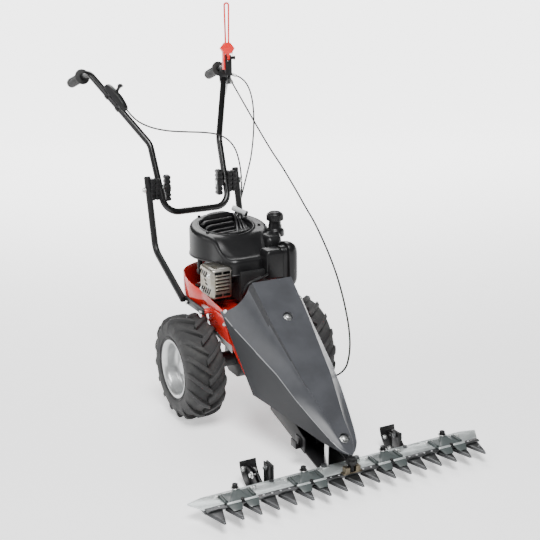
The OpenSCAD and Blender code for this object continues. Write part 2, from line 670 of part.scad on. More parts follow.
module starter_cover() color("#262627") at_crank() {
    dome = [[opening_r - 1, blower_top - 3], [opening_r - 1, blower_top + 9], [62, blower_top + 24],
        [30, blower_top + 29],
        [0, blower_top + 29]];
    wall = 3;
    rope_dir = unit([0, 0.82, 0.57]);
    difference() {
        union() {
            rotate_extrude() polygon(concat(dome, [for (p = flip(dome)) [max(p[0] - wall, 0),
                p[1] - (p[1] > blower_top ? wall : 0)]]));
            translate([0, 0, blower_top + seat_gap]) rotate_extrude()
                translate([opening_r - 3, 0]) square([9, 3]);
        }
        for (a = [195 : 10 : 345]) rotate([0, 0, a]) slab(34, 80, -2.4, 2.4, blower_top + 6,
            blower_top + 40);
    }
    guide_r = 6;
    across = norm(cross(rope_dir, grip_lay));
    guide_end = (starter_r + seat_gap + guide_r * abs(rope_dir * grip_lay)) / across;
    rod(grip_rest - rope_dir * (guide_end + 32), grip_rest - rope_dir * guide_end, guide_r);
}
// Starter grip, with its place from the crankshaft
starter_r = 9;
starter_len = 55;
grip_lay = [0.8, -0.6, 0];
grip_rest = [66, 55, blower_top + 32];
module starter_grip() color("#c4c6c6") at_crank() {
    half = grip_lay * starter_len / 2;
    rod(grip_rest - half, grip_rest + half, starter_r);
}
tank_neck = [134, -61];
tank_top = blower_z + 68;
module fuel_tank() color("#2b2b2c") at_crank() {
    tank_z = blower_z - 12;
    difference() {
        union() {
            slab(60, 165, -148, -45, tank_z, tank_top);
            disc(tank_neck[0], tank_neck[1], tank_top - 5, blower_top + 32, cap_r - 8);
        }
        cylinder_at(tank_z - 5, tank_top + 5, blower_r + seat_gap + 1);
        side_plate(0, 200, [[-200, blower_z - 20], [-200, tank_top + 1], [-148, tank_top + 1],
            [-120, blower_z + 20], [-148, blower_z - 20]]);
        linear_extrude(blower_top) polygon([[0, 0], [blower_r + 1, 0],
            [hood_half_w + 14, hood_front + 40], [hood_half_w + 2, hood_front - 20],
            [0, hood_front - 20]]);
        disc(tank_neck[0], tank_neck[1], tank_top - 40, blower_top + 40, cap_r - 14);
    }
}
module fuel_cap() color("#2b2b2c") at_crank() translate([tank_neck[0], tank_neck[1], blower_top + 22])
    difference() {
    union() {
        cylinder(h = 30, r = cap_r - 3);
        for (a = [0 : 30 : 330]) rotate([0, 0, a]) translate([cap_r - 4, 0, 2]) cylinder(h = 26, r = 4);
    }
    translate([0, 0, -1]) cylinder(h = 12, r = cap_r - 8 + run_fit);
}
carb_x = 48 + seat_gap;
module carburettor() color("#8b8e90") at_crank() {
    slab(carb_x, 98, -151 + seat_gap, -128, barrel_z - 15, barrel_z + 35);
    disc(74, -138, barrel_z - 33, barrel_z - 15, 16);
    translate([74, -128, barrel_z + 10]) rotate([-90, 0, 0]) cylinder(h = 8, r = 18);
}
filter_x = 108;
module air_filter_base() color("#333436") at_crank()
    slab(54, filter_x, -206, -151, barrel_z, barrel_z + 84 > blower_z - 6 ? blower_z - 6 : barrel_z + 84);
module air_filter_cover() color("#2c2c2d") at_crank() difference() {
    translate([filter_x + seat_gap, -181, barrel_z + 54]) rotate([0, 90, 0]) linear_extrude(44) union() {
        square([132, 52], center = true);
        square([112, 72], center = true);
        for (x = [-56, 56], y = [-26, 26]) translate([x, y]) circle(10);
    }
    translate([filter_x + 26, -230, barrel_z - 50]) cube([6, 20, 200]);
}
muffler_x = -92;
module muffler() color("#8d8a84") at_crank() {
    slab(muffler_x - 46, muffler_x, -158, -92, barrel_z - 18, barrel_z + 56);
    cross_rod(muffler_x, -48 - seat_gap, -125, barrel_z + 15, 14);
    for (p = [[-145, 44], [-105, -6]]) cross_rod(muffler_x - 54 + seat_gap, muffler_x - 46, p[0],
        barrel_z + p[1], 5);
}
module muffler_guard() color("#b4ada0") at_crank() difference() {
    x0 = muffler_x - 56;
    x1 = muffler_x + 8;
    slab(x0, x1, -168, -82, barrel_z - 27, barrel_z + 62);
    slab(x0 + 2, x1 + 1, -166, -80, barrel_z - 25, barrel_z + 60);
    for (i = [0 : 5]) slab(x0 + 8, x1 - 6, -170, -160, barrel_z - 20 + 14 * i, barrel_z - 13 + 14 * i);
    for (i = [0 : 4]) slab(x0 - 2, x0 + 4, -156, -94, barrel_z - 16 + 16 * i, barrel_z - 8 + 16 * i);
    for (i = [0 : 4]) slab(x0 + 8, x1 - 6, -158 + 14 * i, -151 + 14 * i, barrel_z + 58, barrel_z + 66);
}
module spark_plug() color("#1f1f20") at_crank() {
    plug_z = barrel_z + 10;
    translate([0, -180, plug_z]) rotate([90, 0, 0]) {
        cylinder(h = 14, r = 7);
        translate([0, 0, 10 + seat_gap]) cylinder(h = 7, r = 11, $fn = 6);
        translate([0, 0, 14]) cylinder(h = 30, r = 8);
    }
    translate([0, -224, plug_z - 9]) cylinder(h = 22, r = 9);
    bent_tube([[0, -224, plug_z], [0, -224, plug_z + 38], [34, -210, plug_z + 45],
        [44, -180, plug_z + 46]], 3.5, 0,
        [0, 12, 12, 0]);
}

// Cutter bar
driver_pin_r = 8.6;
skid_bolt = [14.5, plate_rear - 8];
plate_hole_x = [3.7 * tooth_pitch, 5.15 * tooth_pitch];
plate_hole_r = 3.5;
module bar_holes(z0, z1) both_sides() {
    for (x = holder_x) disc(x, holder_bolt_y, z0, z1, 5 + seat_gap);
    disc(joint_x, joint_y, z0, z1, 5 + seat_gap);
    disc(skid_x - skid_bolt[0], skid_bolt[1], z0, z1, 4 + seat_gap);
}
module back_plate() color("#c3cdcb") placed() difference() {
    edge = [[plate_half_w - 16, plate_rear], [plate_half_w + 28, plate_rear - 12],
        [plate_half_w, plate_front]];
    translate([0, 0, ledge_z + seat_gap / 3]) linear_extrude(plate_t - seat_gap / 3)
        polygon(concat(edge, [for (p = flip(edge)) [-p[0], p[1]]]));
    bar_holes(ledge_z - 5, plate_top + 5);
    both_sides() for (x = plate_hole_x) disc(x, skid_bolt[1], ledge_z - 5, plate_top + 5, plate_hole_r);
}
module comb_bar() color("#3f4244") placed() difference() {
    side_plate(-plate_half_w, plate_half_w, [[comb_rear, comb_z], [comb_rear, ledge_z],
        [plate_front, ledge_z],
        [plate_front, comb_top], [tooth_root_y + seat_gap / 3, comb_top],
            [tooth_root_y + seat_gap / 3, comb_z]]);
    bar_holes(comb_z - 5, ledge_z + 5);
}
// A row of teeth, each w wide at its root and as long as reach
module teeth(root_y, tip_y, w, tip_w, z, t) for (i = [0 : tooth_count - 1])
    translate([(i - (tooth_count - 1) / 2) * tooth_pitch, 0, z]) linear_extrude(t)
        polygon([[-w / 2, root_y], [w / 2, root_y], [tip_w / 2, tip_y], [-tip_w / 2, tip_y]]);
module comb_teeth() color("#434547") placed() teeth(tooth_root_y, -tip_reach, tooth_pitch - 3, 6, comb_z,
    comb_t);
module knife_sections() color("#4a4c4e") placed() teeth(knife_rear, 5 - tip_reach, tooth_pitch - 2, 5,
    knife_z, knife_t);
knife_back_z = knife_top + 0.1;
module knife_back() color("#5a5c5e") placed()
    slab(2 - plate_half_w, plate_half_w - 2, back_front, knife_rear, knife_back_z, plate_top);
module knife_driver() color("#8a6f3c") placed() difference() {
    union() {
        slab(-30, 30, back_front - 3, knife_rear, plate_top + 0.1, plate_top + 4);
        both_sides() slab(driver_pin_r + 0.6, 24, back_front - 3, knife_rear, plate_top + 3,
            plate_top + 20);
    }
    disc(0, eye_y, plate_top + 4, plate_top + 40, driver_pin_r + 0.6);
}
module knife_holders() color("#505a5a") placed() for (s = [-1, 1], x = holder_x) translate([s * x, 0, 0])
    difference() {
    seat = plate_top + seat_gap;
    top = seat + 4;
    tongue = knife_top + 0.5;
    heel = plate_rear - 16;
    union() {
        side_plate(-46, 46, [[heel, seat], [heel, top], [back_front - 5, top],
            [back_front - 5, seat + 0.2], [plate_front, seat + 0.2],
            [plate_front, seat]]);
        for (c = [-24, 24]) translate([c, 0, 0]) side_plate(-15, 15,
            [[back_front - 4, top], [back_front - 9, tongue + 4],
            [back_front - 26, tongue + 3], [back_front - 26, tongue], [back_front - 0.6, tongue],
                [back_front - 0.6, top]]);
        for (c = [-38, 38]) slab(c - 8, c + 8, heel - 25, heel - 5, top - 1, top + 9);
        translate([0, plate_front + 1, top]) rotate([36, 0, 0]) linear_extrude(3)
            polygon([[-24, 0], [24, 0], [4, 24], [-4, 24]]);
        slab(-24, 24, plate_front - 2, plate_front + 4, top - 1, top + 3);
    }
    disc(0, holder_bolt_y, seat - 5, top + 30, 5 + seat_gap);
}
module bolt_up(x, y, z0, z1, r, head) {
    disc(x, y, z0, z1 + 1, r);
    translate([x, y, z1]) cylinder(h = head, r = 1.8 * r, $fn = 6);
    translate([x, y, z0 + 1]) cylinder(h = head, r = 1.8 * r, $fn = 6);
}
module bar_bolts() color("#26282a") placed() both_sides() {
    nut = 6;
    holder_head = 8;
    skid_head = 3;
    for (x = holder_x) bolt_up(x, holder_bolt_y, comb_z - holder_head - 1 - seat_gap,
        plate_top + 4 + 2 * seat_gap, 5, holder_head);
    bolt_up(joint_x, joint_y, ledge_z - carrier_t - nut - 1 - seat_gap, plate_top + 3 + 2 * seat_gap, 5, nut);
    bolt_up(skid_x - skid_bolt[0], skid_bolt[1], foot_low - skid_head - 1 - seat_gap, plate_top + seat_gap, 4,
        skid_head);
    cross_rod(skid_x - rail_in - 11, skid_x - rail_in + 16, slot_y, slot_z, 4);
    translate([skid_x - rail_in - 5 - seat_gap, slot_y, slot_z]) rotate([0, -90, 0])
        cylinder(h = 5, r = 8, $fn = 6);
    translate([skid_x - rail_in + 4 + 2 * seat_gap, slot_y, slot_z]) rotate([0, 90, 0])
        cylinder(h = 5, r = 8, $fn = 6);
}

// Height skids: a bent shoe on a slotted rail, bolted to a bracket under the plate
foot_low = ledge_z - 6;
rail_in = 22;
slot_y = plate_rear + 24;
slot_z = 72;
skid_travel = 25;
skid_half_w = 25;
shoe_t = 4;
shoe_r = 70;
shoe_y = plate_rear + 39;
module skid_brackets() color("#35383a") placed() both_sides() difference() {
    union() {
        slab(skid_x - rail_in - 5, skid_x - rail_in, plate_rear - 15, slot_y + 14, foot_low, slot_z + 14);
        slab(skid_x - rail_in - 5, skid_x + 6, plate_rear - 15, plate_rear + 1, foot_low,
            ledge_z - seat_gap / 3);
    }
    slab(skid_x - rail_in - 6, skid_x - rail_in + 1, plate_rear - 20, plate_rear + seat_gap,
        ledge_z - seat_gap / 3, slot_z + 20);
    disc(skid_x - skid_bolt[0], skid_bolt[1], foot_low - 5, ledge_z + 5, 4 + seat_gap);
    cross_rod(skid_x - rail_in - 10, skid_x, slot_y, slot_z, 4 + seat_gap);
}
module skid() {
    rail_x = seat_gap - rail_in;
    slab(-skid_half_w, skid_half_w, plate_rear - 16, shoe_y, 0, shoe_t);
    intersection() {
        translate([-skid_half_w, shoe_y, shoe_r]) rotate([90, 0, 90]) linear_extrude(2 * skid_half_w)
            difference() {
            circle(shoe_r);
            circle(shoe_r - shoe_t);
        }
        slab(-skid_half_w, skid_half_w, shoe_y, shoe_y + shoe_r, 0, shoe_r - 8);
    }
    difference() {
        slab(rail_x, rail_x + 4, plate_rear + 4, shoe_y + 6, 1, slot_z + 10);
        cross_rod(rail_x - 1, rail_x + 5, slot_y, slot_z, 4 + seat_gap);
        cross_rod(rail_x - 1, rail_x + 5, slot_y, slot_z - skid_travel, 4 + seat_gap);
        slab(rail_x - 1, rail_x + 5, slot_y - 4 - seat_gap, slot_y + 4 + seat_gap, slot_z - skid_travel,
            slot_z);
    }
}
module skid_right() color("#303234") placed() translate([skid_x, 0, 0]) skid();
module skid_left() color("#303234") placed() mirror([1, 0, 0]) translate([skid_x, 0, 0]) skid();

// Handle
tube_bore = tube_r - tube_wall;
grip_tip = grip_pt - grip_dir * 4;
upper_path = concat([grip_tip, bend_pt, elbow_pt, corner_pt],
    [for (p = flip([grip_tip, bend_pt, elbow_pt, corner_pt])) mirrored(p)]);
upper_bends = [0, 34, 60, 52, 52, 60, 34, 0];
clamp_half_h = 36;
clamp_half_d = 14;
clamp_split = lower_half_w - 20.8;
stud_in = lower_half_w - 78;
knob_half = 44;
module clamp_box(x0, x1) slab(x0, x1, clamp_pt[1] - clamp_half_d, clamp_pt[1] + clamp_half_d,
    clamp_z - clamp_half_h,
    clamp_z + clamp_half_h);
module stud_hole(clearance) cross_rod(stud_in - 5, lower_half_w + 30, clamp_pt[1], clamp_z,
    stud_r + clearance);
module upper_handle() color("#1c1c1d") placed() difference() {
    bent_tube(upper_path, tube_r, tube_bore, upper_bends);
    both_sides() stud_hole(seat_gap);
}
module lower_tubes() color("#232324") placed() both_sides() difference() {
    union() {
        bent_tube([lower_top, kink_pt, foot_pt], tube_r, tube_bore, [0, 60, 0]);
        slab(foot_x, foot_x + foot_t, foot_bolt_ys[1] - 14, foot_pt[1] + 12, foot_z - foot_h / 2,
            foot_z + foot_h / 2);
    }
    stud_hole(seat_gap);
    for (y = foot_bolt_ys) cross_rod(foot_x - 1, foot_x + foot_t + 1, y, foot_bolt_z, stud_r + seat_gap);
}
module clamp_blocks() color("#1f2021") placed() both_sides() difference() {
    clamp_box(clamp_split + seat_gap, lower_half_w - 4);
    rod(kink_pt, stud_pt + (stud_pt - kink_pt), tube_r + 0.05);
    stud_hole(seat_gap);
}
module clamp_rings() color("#1f2021") placed() both_sides() difference() {
    clamp_box(clamp_pt[0] + 3, clamp_split - seat_gap);
    rod(corner_pt, elbow_pt, tube_r + 0.05);
    stud_hole(run_fit);
}
module knob(side) color("#1b1b1c") placed() translate([0, clamp_pt[1], clamp_z])
    mirror([side < 0 ? 1 : 0, 0, 0]) difference() {
    union() {
        cross_rod(stud_in + 2, stud_in + 23, 0, 0, 15);
        slab(stud_in + 4, stud_in + 18, -9, 9, -knob_half, knob_half);
        for (i = [-4 : 4]) slab(stud_in + 3, stud_in + 19, -11, 11, 10 * i - 3, 10 * i + 3);
    }
    cross_rod(stud_in - 5, stud_in + 30, 0, 0, stud_r + run_fit);
}
module knob_left() knob(-1);
module knob_right() knob(1);
module grips() color("#1d1d1e") placed() both_sides() difference() {
    union() {
        rod(grip_pt - grip_dir * grip_len, grip_pt, grip_r);
        rod(grip_pt - grip_dir * grip_len, grip_pt - grip_dir * (grip_len - 6), grip_r + 6);
    }
    rod(grip_pt - grip_dir * (grip_len + 5), grip_tip + grip_dir * seat_gap, tube_r + 0.05);
}
// Fasteners of the frame, engine and gearbox, and the studs of the handle clamps
module bolt_across(x0, x1, y, z, nut) {
    cross_rod(x0 - nut, x1 + 1, y, z, stud_r);
    translate([x1, y, z]) rotate([0, 90, 0]) cylinder(h = 6, r = 7, $fn = 6);
    translate([x0 - 5, y, z]) rotate([0, 90, 0]) cylinder(h = 5, r = 7, $fn = 6);
}
module frame_bolts() color("#c9ccc8") placed() both_sides() {
    for (y = foot_bolt_ys) bolt_across(tub_half_w(y) - sheet_t - 1, foot_x + foot_t + seat_gap, y,
        foot_bolt_z, 8);
    for (y = [-1, 1]) translate([engine_bolt, crank_y + y * engine_bolt, 0]) {
        disc(0, 0, deck_z - 12, block_z + 11, 4);
        translate([0, 0, block_z + 10 + seat_gap]) cylinder(h = 6, r = 7, $fn = 6);
        translate([0, 0, deck_z - 6 - seat_gap]) cylinder(h = 6, r = 7, $fn = 6);
    }
    for (b = gearbox_bolts) translate([b[0], b[1], 0]) {
        disc(0, 0, saddle_z - 18, saddle_z + 6, 4);
        translate([0, 0, saddle_z + 4 + seat_gap]) cylinder(h = 3, r = 7, $fn = 6);
        translate([0, 0, saddle_z - 16 - seat_gap]) cylinder(h = 6, r = 7, $fn = 6);
    }
    for (b = carrier_bolts) translate([b[0], carrier_rear, b[1]]) rotate([90, 0, 0]) {
        translate([0, 0, -12]) cylinder(h = 20, r = 4.7);
        translate([0, 0, 6 + seat_gap]) cylinder(h = 5, r = 8, $fn = 6);
        translate([0, 0, -sheet_t - 5 - seat_gap]) cylinder(h = 5, r = 8, $fn = 6);
    }
    cross_rod(stud_in, lower_half_w + tube_r + 4, clamp_pt[1], clamp_z, stud_r);
    cross_rod(lower_half_w + tube_r + seat_gap, lower_half_w + tube_r + 6, clamp_pt[1], clamp_z, 9);
}

// Controls
throttle_at = 81;
throttle_len = 112;
throttle_pivot = [-27, 0, throttle_at + 46];
module on_left_tube() placed() along(mirrored(bend_pt), mirrored(elbow_pt)) children();
module throttle_housing() color("#232426") {
    on_left_tube() difference() {
        union() {
            translate([-36, -10, throttle_at]) cube([24, 20, throttle_len]);
            translate([-20, -15, throttle_at + 20]) cube([34, 30, 24]);
            translate([-20, -15, throttle_at + 68]) cube([34, 30, 24]);
        }
        cylinder(h = 300, r = tube_r + 0.05);
        translate([-50, -3.5, throttle_at + 10]) cube([36, 7, 72]);
    }
    on_left_tube() translate(throttle_pivot) rotate([90, 0, 0]) translate([0, 0, -9])
        cylinder(h = 18, r = 3);
    placed() rod(throttle_route[0] + unit(throttle_route[0] - throttle_route[1]) * 20,
        throttle_route[0] + unit(throttle_route[0] - throttle_route[1]) * 0.2, 5);
}
module throttle_lever() color("#2c2d30") on_left_tube() translate(throttle_pivot) difference() {
    union() {
        translate([0, 3, 0]) rotate([90, 0, 0]) cylinder(h = 6, r = 11);
        translate([-34, -3, -5]) cube([34, 6, 9]);
        translate([-40, -8, -7]) cube([9, 16, 13]);
    }
    rotate([90, 0, 0]) translate([0, 0, -20]) cylinder(h = 40, r = 3 + run_fit);
}
dead_pt = [246, 616, 1046];
clutch_pt = [252, 640, 962];
dead_pin_r = 4;
ear_gap = 6;
module lever_bracket() color("#202122") placed() {
    difference() {
        union() {
            along(bend_pt, elbow_pt) translate([-17, -15, 30]) cube([32, 30, 42]);
            slab(dead_pt[0] - 12, dead_pt[0] + 12, dead_pt[1] - 12, dead_pt[1] + 12, 985, dead_pt[2]);
            cross_rod(dead_pt[0] - 12, dead_pt[0] + 12, dead_pt[1], dead_pt[2], 12);
            slab(clutch_pt[0] - 12, clutch_pt[0] + 12, clutch_pt[1] - 14, clutch_pt[1] + 10,
                clutch_pt[2] - 10, clutch_pt[2] + 22);
            rod(knife_route[0] + unit(knife_route[0] - knife_route[1]) * 40,
                knife_route[0] + unit(knife_route[0] - knife_route[1]) * 0.2, 4.5);
            rod(traction_route[0] + unit(traction_route[0] - traction_route[1]) * 30,
                traction_route[0] + unit(traction_route[0] - traction_route[1]) * 0.2, 5);
        }
        rod(bend_pt, elbow_pt, tube_r + 0.05);
        slab(dead_pt[0] - ear_gap, dead_pt[0] + ear_gap, dead_pt[1] - 30, dead_pt[1] + 30,
            dead_pt[2] - 11, dead_pt[2] + 30);
        slab(clutch_pt[0] - 4.2, clutch_pt[0] + 4.2, clutch_pt[1] - 12, clutch_pt[1] + 30,
            clutch_pt[2] - 30, clutch_pt[2] + 12);
    }
    cross_rod(dead_pt[0] - 11, dead_pt[0] + 27, dead_pt[1], dead_pt[2], dead_pin_r);
    cross_rod(dead_pt[0] + 26, dead_pt[0] + 29, dead_pt[1], dead_pt[2], 7);
    cross_rod(clutch_pt[0] - 11, clutch_pt[0] + 11, clutch_pt[1], clutch_pt[2], dead_pin_r);
    tube(spring_route, spring_wire, 6);
}
module deadman_lever() color("#cc1f1c") placed() translate(dead_pt) {
    head = [[13, 15], [26, 34], [9, 54]];
    hub = ear_gap - seat_gap;
    difference() {
        union() {
            cross_rod(-hub, hub, 0, 0, 9);
            slab(-hub, hub, -8, 8, 0, 18);
            slab(-18, -12 - seat_gap, -7, 7, -40, 20);
            translate([0, 9, 0]) rotate([90, 0, 0]) linear_extrude(18)
                polygon(concat(head, [for (p = flip(head)) [-p[0], p[1]]]));
            bent_tube([[-6, 0, 50], [-8.5, 0, 191], [8.5, 0, 191], [6, 0, 50]], 3.2, 0, [0, 8, 8, 0]);
        }
        cross_rod(-hub - 1, hub + 1, 0, 0, dead_pin_r + run_fit);
    }
}
module clutch_lever() color("#8f9492") placed() difference() {
    blade = [[-7, -6], [8, -4], [22, -36], [50, -72], [64, -108], [58, -116], [40, -84], [10, -44]];
    union() {
        side_plate(clutch_pt[0] - 4 + seat_gap / 2, clutch_pt[0] + 4 - seat_gap / 2,
            [for (p = blade) [clutch_pt[1] + p[0], clutch_pt[2] + p[1]]]);
        cross_rod(clutch_pt[0] - 4 + seat_gap / 2, clutch_pt[0] + 4 - seat_gap / 2, clutch_pt[1],
            clutch_pt[2], 9);
    }
    cross_rod(clutch_pt[0] - 9, clutch_pt[0] + 9, clutch_pt[1], clutch_pt[2], dead_pin_r + run_fit);
}

// Return spring round the red lever's pin, wound from a formula
spring_wire = 0.8;
spring_r = 5.2;
spring_pitch = 2.4;
spring_turns = 4;
spring_x = dead_pt[0] + 14;
function coil_at(t) = [spring_x + spring_pitch * t, dead_pt[1] + spring_r * cos(360 * t),
    dead_pt[2] + spring_r * sin(360 * t)];
spring_coil = [for (i = [0 : 8 * spring_turns]) coil_at(i / 8)];
spring_route = concat([for (d = [26, 14, 3]) coil_at(0) - [0, 0, d]], spring_coil,
    [for (d = [3, 12, 20]) coil_at(spring_turns) + [0, 0, d]]);
spring_gap = min([for (i = [0 : len(spring_coil) - 1], j = [0 : len(spring_coil) - 1])
    if (abs(i - j) > 5) norm(spring_coil[i] - spring_coil[j])]) - 2 * spring_wire;
echo("least gap in the spring", spring_gap);

// Cables: each tube follows its own points
cable_r = 2.75;
knife_route = [[251, 592, 962], [250, 560, 942], [248, 500, 905], [245, 420, 856], [242, 340, 808],
    [239, 262, 764],
    [234, 186, 729], [227, 120, 699], [218, 50, 668], [209, -20, 635], [201, -90, 602], [193, -152, 566],
        [185, -210, 528],
    [177, -264, 486], [169, -310, 442], [160, -350, 398], [150, -384, 358], [140, -408, 322],
        [131, -421, 292],
    [124, -424, 266], [121, -420, 250], [117, -410, 234],
    [112, -399, 222], [106, -394, 217], [100, -394, 217]];
throttle_route = [[-175, 523, 902], [-163, 503, 881], [-145, 480, 862], [-110, 452, 845], [-60, 430, 834],
    [0, 416, 828],
    [60, 408, 822], [105, 402, 812], [140, 398, 792], [165, 396, 760], [180, 396, 715], [187, 396, 665],
        [187, 394, 620],
    [178, 390, 580], [162, 384, 545], [148, 372, 510], [136, 345, 475], [122, 300, 450], [104, 245, 440],
        [98, 205, 436],
    [94, 182, 433], [86, 168, 432], [75, 168, 432]];
traction_route = [[270, 604, 984], [282, 590, 978], [294, 570, 962], [300, 548, 935], [298, 522, 895],
    [286, 490, 845],
    [266, 456, 785], [240, 424, 720], [214, 404, 665], [199, 400, 622], [186, 398, 582], [170, 394, 545],
        [155, 380, 508],
    [143, 352, 468], [135, 310, 425], [130, 268, 384], [127, 240, 353], [126, 224, 345],
    [126, 211, 345]];
knife_end = knife_route[len(knife_route) - 1];
throttle_end = throttle_route[len(throttle_route) - 1];
traction_end = traction_route[len(traction_route) - 1];
// Round tube along a path, with its frame carried on from ring to ring
module tube(path, r, sides) {
    n = len(path);
    t = [for (i = [0 : n - 1]) unit(path[min(i + 1, n - 1)] - path[max(i - 1, 0)])];
    start = unit(cross(t[0], abs(t[0][0]) < 0.9 ? [1, 0, 0] : [0, 1, 0]));
    u = [for (i = 0, v = start; i < n; i = i + 1, v = i < n ? unit(v - t[i] * (t[i] * v)) : v) v];
    rings = [for (i = [0 : n - 1], k = [0 : sides - 1])
        path[i] + r * (cos(360 * k / sides) * u[i] + sin(360 * k / sides) * cross(t[i], u[i]))];
    walls = [for (i = [0 : n - 2], k = [0 : sides - 1]) let (a = i * sides + k,
        b = i * sides + (k + 1) % sides)
        each [[a, b + sides, b], [a, a + sides, b + sides]]];
    last = (n - 1) * sides;
    caps = [for (k = [1 : sides - 2]) each [[0, k, k + 1], [last, last + k + 1, last + k]]];
    polyhedron(points = rings, faces = concat(walls, caps));
}
module knife_cable() color("#202020") placed() tube(knife_route, cable_r, 8);
module control_cables() color("#202020") placed() {
    tube(throttle_route, cable_r, 8);
    tube(traction_route, cable_r, 8);
}
module cable_glands() color("#2a2a2b") placed() {
    wall_x = ridge_x(cable_hole[0]);
    cross_rod(wall_x - 12, knife_end[0] - 0.2, cable_hole[0], cable_hole[1], 5);
    cross_rod(wall_x + 2, wall_x + 6, cable_hole[0], cable_hole[1], 9);
    cross_rod(wall_x - 11, wall_x - 6, cable_hole[0], cable_hole[1], 9);
    translate(traction_end) rotate([90, 0, 0]) translate([0, 0, 0.2]) cylinder(h = 10.5, r = 7);
    slab(-carrier_half_w - 5, -carrier_half_w - 2 - seat_gap, -482, -452, 60, 92);
    slab(-carrier_half_w - 20, -carrier_half_w - 2 - seat_gap, -482, -452, 60, 63);
    slab(-carrier_half_w - 20, -carrier_half_w - 17, -482, -452, 60, 84);
}

chassis_frame();
side_guards();
carrier_arm();
front_cover();
cover_bolts();
nose_stay();
gearbox_housing();
engine_block();
blower_housing();
starter_cover();
fuel_tank();
carburettor();
air_filter_base();
air_filter_cover();
muffler();
muffler_guard();
spark_plug();
frame_bolts();
lower_tubes();
clamp_blocks();
back_plate();
comb_bar();
comb_teeth();
knife_holders();
bar_bolts();
skid_brackets();
belts();
cable_glands();
tyre_left();
rim_left();
tyre_right();
rim_right();
drive_axle();
crankshaft();
flywheel();
engine_pulley();
knife_shaft();
gearbox_pulley();
knife_back();
knife_sections();
knife_driver();
rocker_arm();
knife_idler();
traction_idler();
upper_handle();
clamp_rings();
grips();
throttle_housing();
lever_bracket();
throttle_lever();
deadman_lever();
clutch_lever();
knob_left();
knob_right();
starter_grip();
fuel_cap();
skid_left();
skid_right();
knife_cable();
control_cables();
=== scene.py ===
"""Walk-behind sickle bar mower: visible pieces, finishes, stage and camera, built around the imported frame."""
import json
import math

import bmesh
import bpy
from bpy.props import FloatProperty, FloatVectorProperty, IntProperty, PointerProperty
from mathutils import Matrix, Vector


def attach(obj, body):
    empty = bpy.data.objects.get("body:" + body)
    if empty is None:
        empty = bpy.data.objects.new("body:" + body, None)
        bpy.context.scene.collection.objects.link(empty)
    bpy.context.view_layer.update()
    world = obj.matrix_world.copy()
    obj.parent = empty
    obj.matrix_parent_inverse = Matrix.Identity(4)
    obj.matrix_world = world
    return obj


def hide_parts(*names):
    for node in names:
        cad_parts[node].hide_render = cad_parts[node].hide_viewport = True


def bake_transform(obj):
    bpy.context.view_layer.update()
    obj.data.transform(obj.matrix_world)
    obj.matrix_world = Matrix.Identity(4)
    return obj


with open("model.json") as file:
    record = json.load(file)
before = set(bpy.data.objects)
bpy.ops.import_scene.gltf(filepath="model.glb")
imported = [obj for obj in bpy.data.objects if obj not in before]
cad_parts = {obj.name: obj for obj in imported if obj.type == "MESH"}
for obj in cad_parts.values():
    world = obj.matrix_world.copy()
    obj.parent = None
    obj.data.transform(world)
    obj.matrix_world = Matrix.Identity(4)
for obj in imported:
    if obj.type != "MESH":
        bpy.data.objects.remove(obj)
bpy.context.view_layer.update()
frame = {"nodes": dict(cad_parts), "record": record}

bl_info = {
    "name": "Sickle Bar Mower",
    "version": (1, 0, 0),
    "blender": (4, 5, 0),
    "location": "View3D > Sidebar > Mower",
    "description": "Builds the visible pieces of a walk-behind sickle bar mower",
    "category": "Add Mesh",
}

SIDES = ((-1, "left"), (1, "right"))
MID_Y = 64.7975
CRANK_Y = 105
AXLE_Z = 165


def at(x, y, z):
    """Row-frame metres of a place given in millimetres from the axle, with the ground at zero height."""
    return Vector((x, y - MID_Y, z)) / 1000


def crank(x, y, z):
    """Row-frame metres of a place given in millimetres from the crankshaft."""
    return at(x, y + CRANK_Y, z)


def mm(points):
    """Points given in millimetres, as metres."""
    return [tuple(value / 1000 for value in point) for point in points]


def ease(low, high, value):
    """0 below low, 1 above high, and a smooth rise between them."""
    t = min(max((value - low) / (high - low), 0), 1)
    return t * t * (3 - 2 * t)


def lookup(value, table):
    """Linear reading of a table of (place, size) pairs in rising order."""
    if value <= table[0][0]:
        return table[0][1]
    for (a, p), (b, q) in zip(table, table[1:]):
        if value <= b:
            return p + (q - p) * (value - a) / (b - a)
    return table[-1][1]


# Finishes

# Face marks of painted light: a painted highlight along the cover's ridges and painted shade on its side walls.
PAINTED_LIGHT_MARKS = ("rub", "side")


def add_node(tree, kind, settings=None, inputs=None):
    """A node with its settings; each input is a socket to link or a value to set."""
    made = tree.nodes.new(kind)
    for key, value in (settings or {}).items():
        setattr(made, key, value)
    for key, value in (inputs or {}).items():
        if isinstance(value, bpy.types.NodeSocket):
            tree.links.new(value, made.inputs[key])
        else:
            made.inputs[key].default_value = value
    return made


class Value:
    """A shader socket that can stand in a sum; each operation adds its node."""

    def __init__(self, look, socket):
        self.look = look
        self.socket = socket

    def maths(self, operation, *terms):
        return self.look.node("ShaderNodeMath", {"operation": operation}, dict(enumerate(terms)))

    def __add__(self, other):
        return self.maths("ADD", self, other)

    def __sub__(self, other):
        return self.maths("SUBTRACT", self, other)

    def __rsub__(self, other):
        return self.maths("SUBTRACT", other, self)

    def __mul__(self, other):
        return self.maths("MULTIPLY", self, other)

    __radd__ = __add__
    __rmul__ = __mul__

    def between(self, low, high):
        """0 to 1 as the value runs from low to high."""
        inputs = {0: self, 1: low, 2: high}
        return self.look.node("ShaderNodeMapRange", {"interpolation_type": "SMOOTHSTEP"}, inputs)


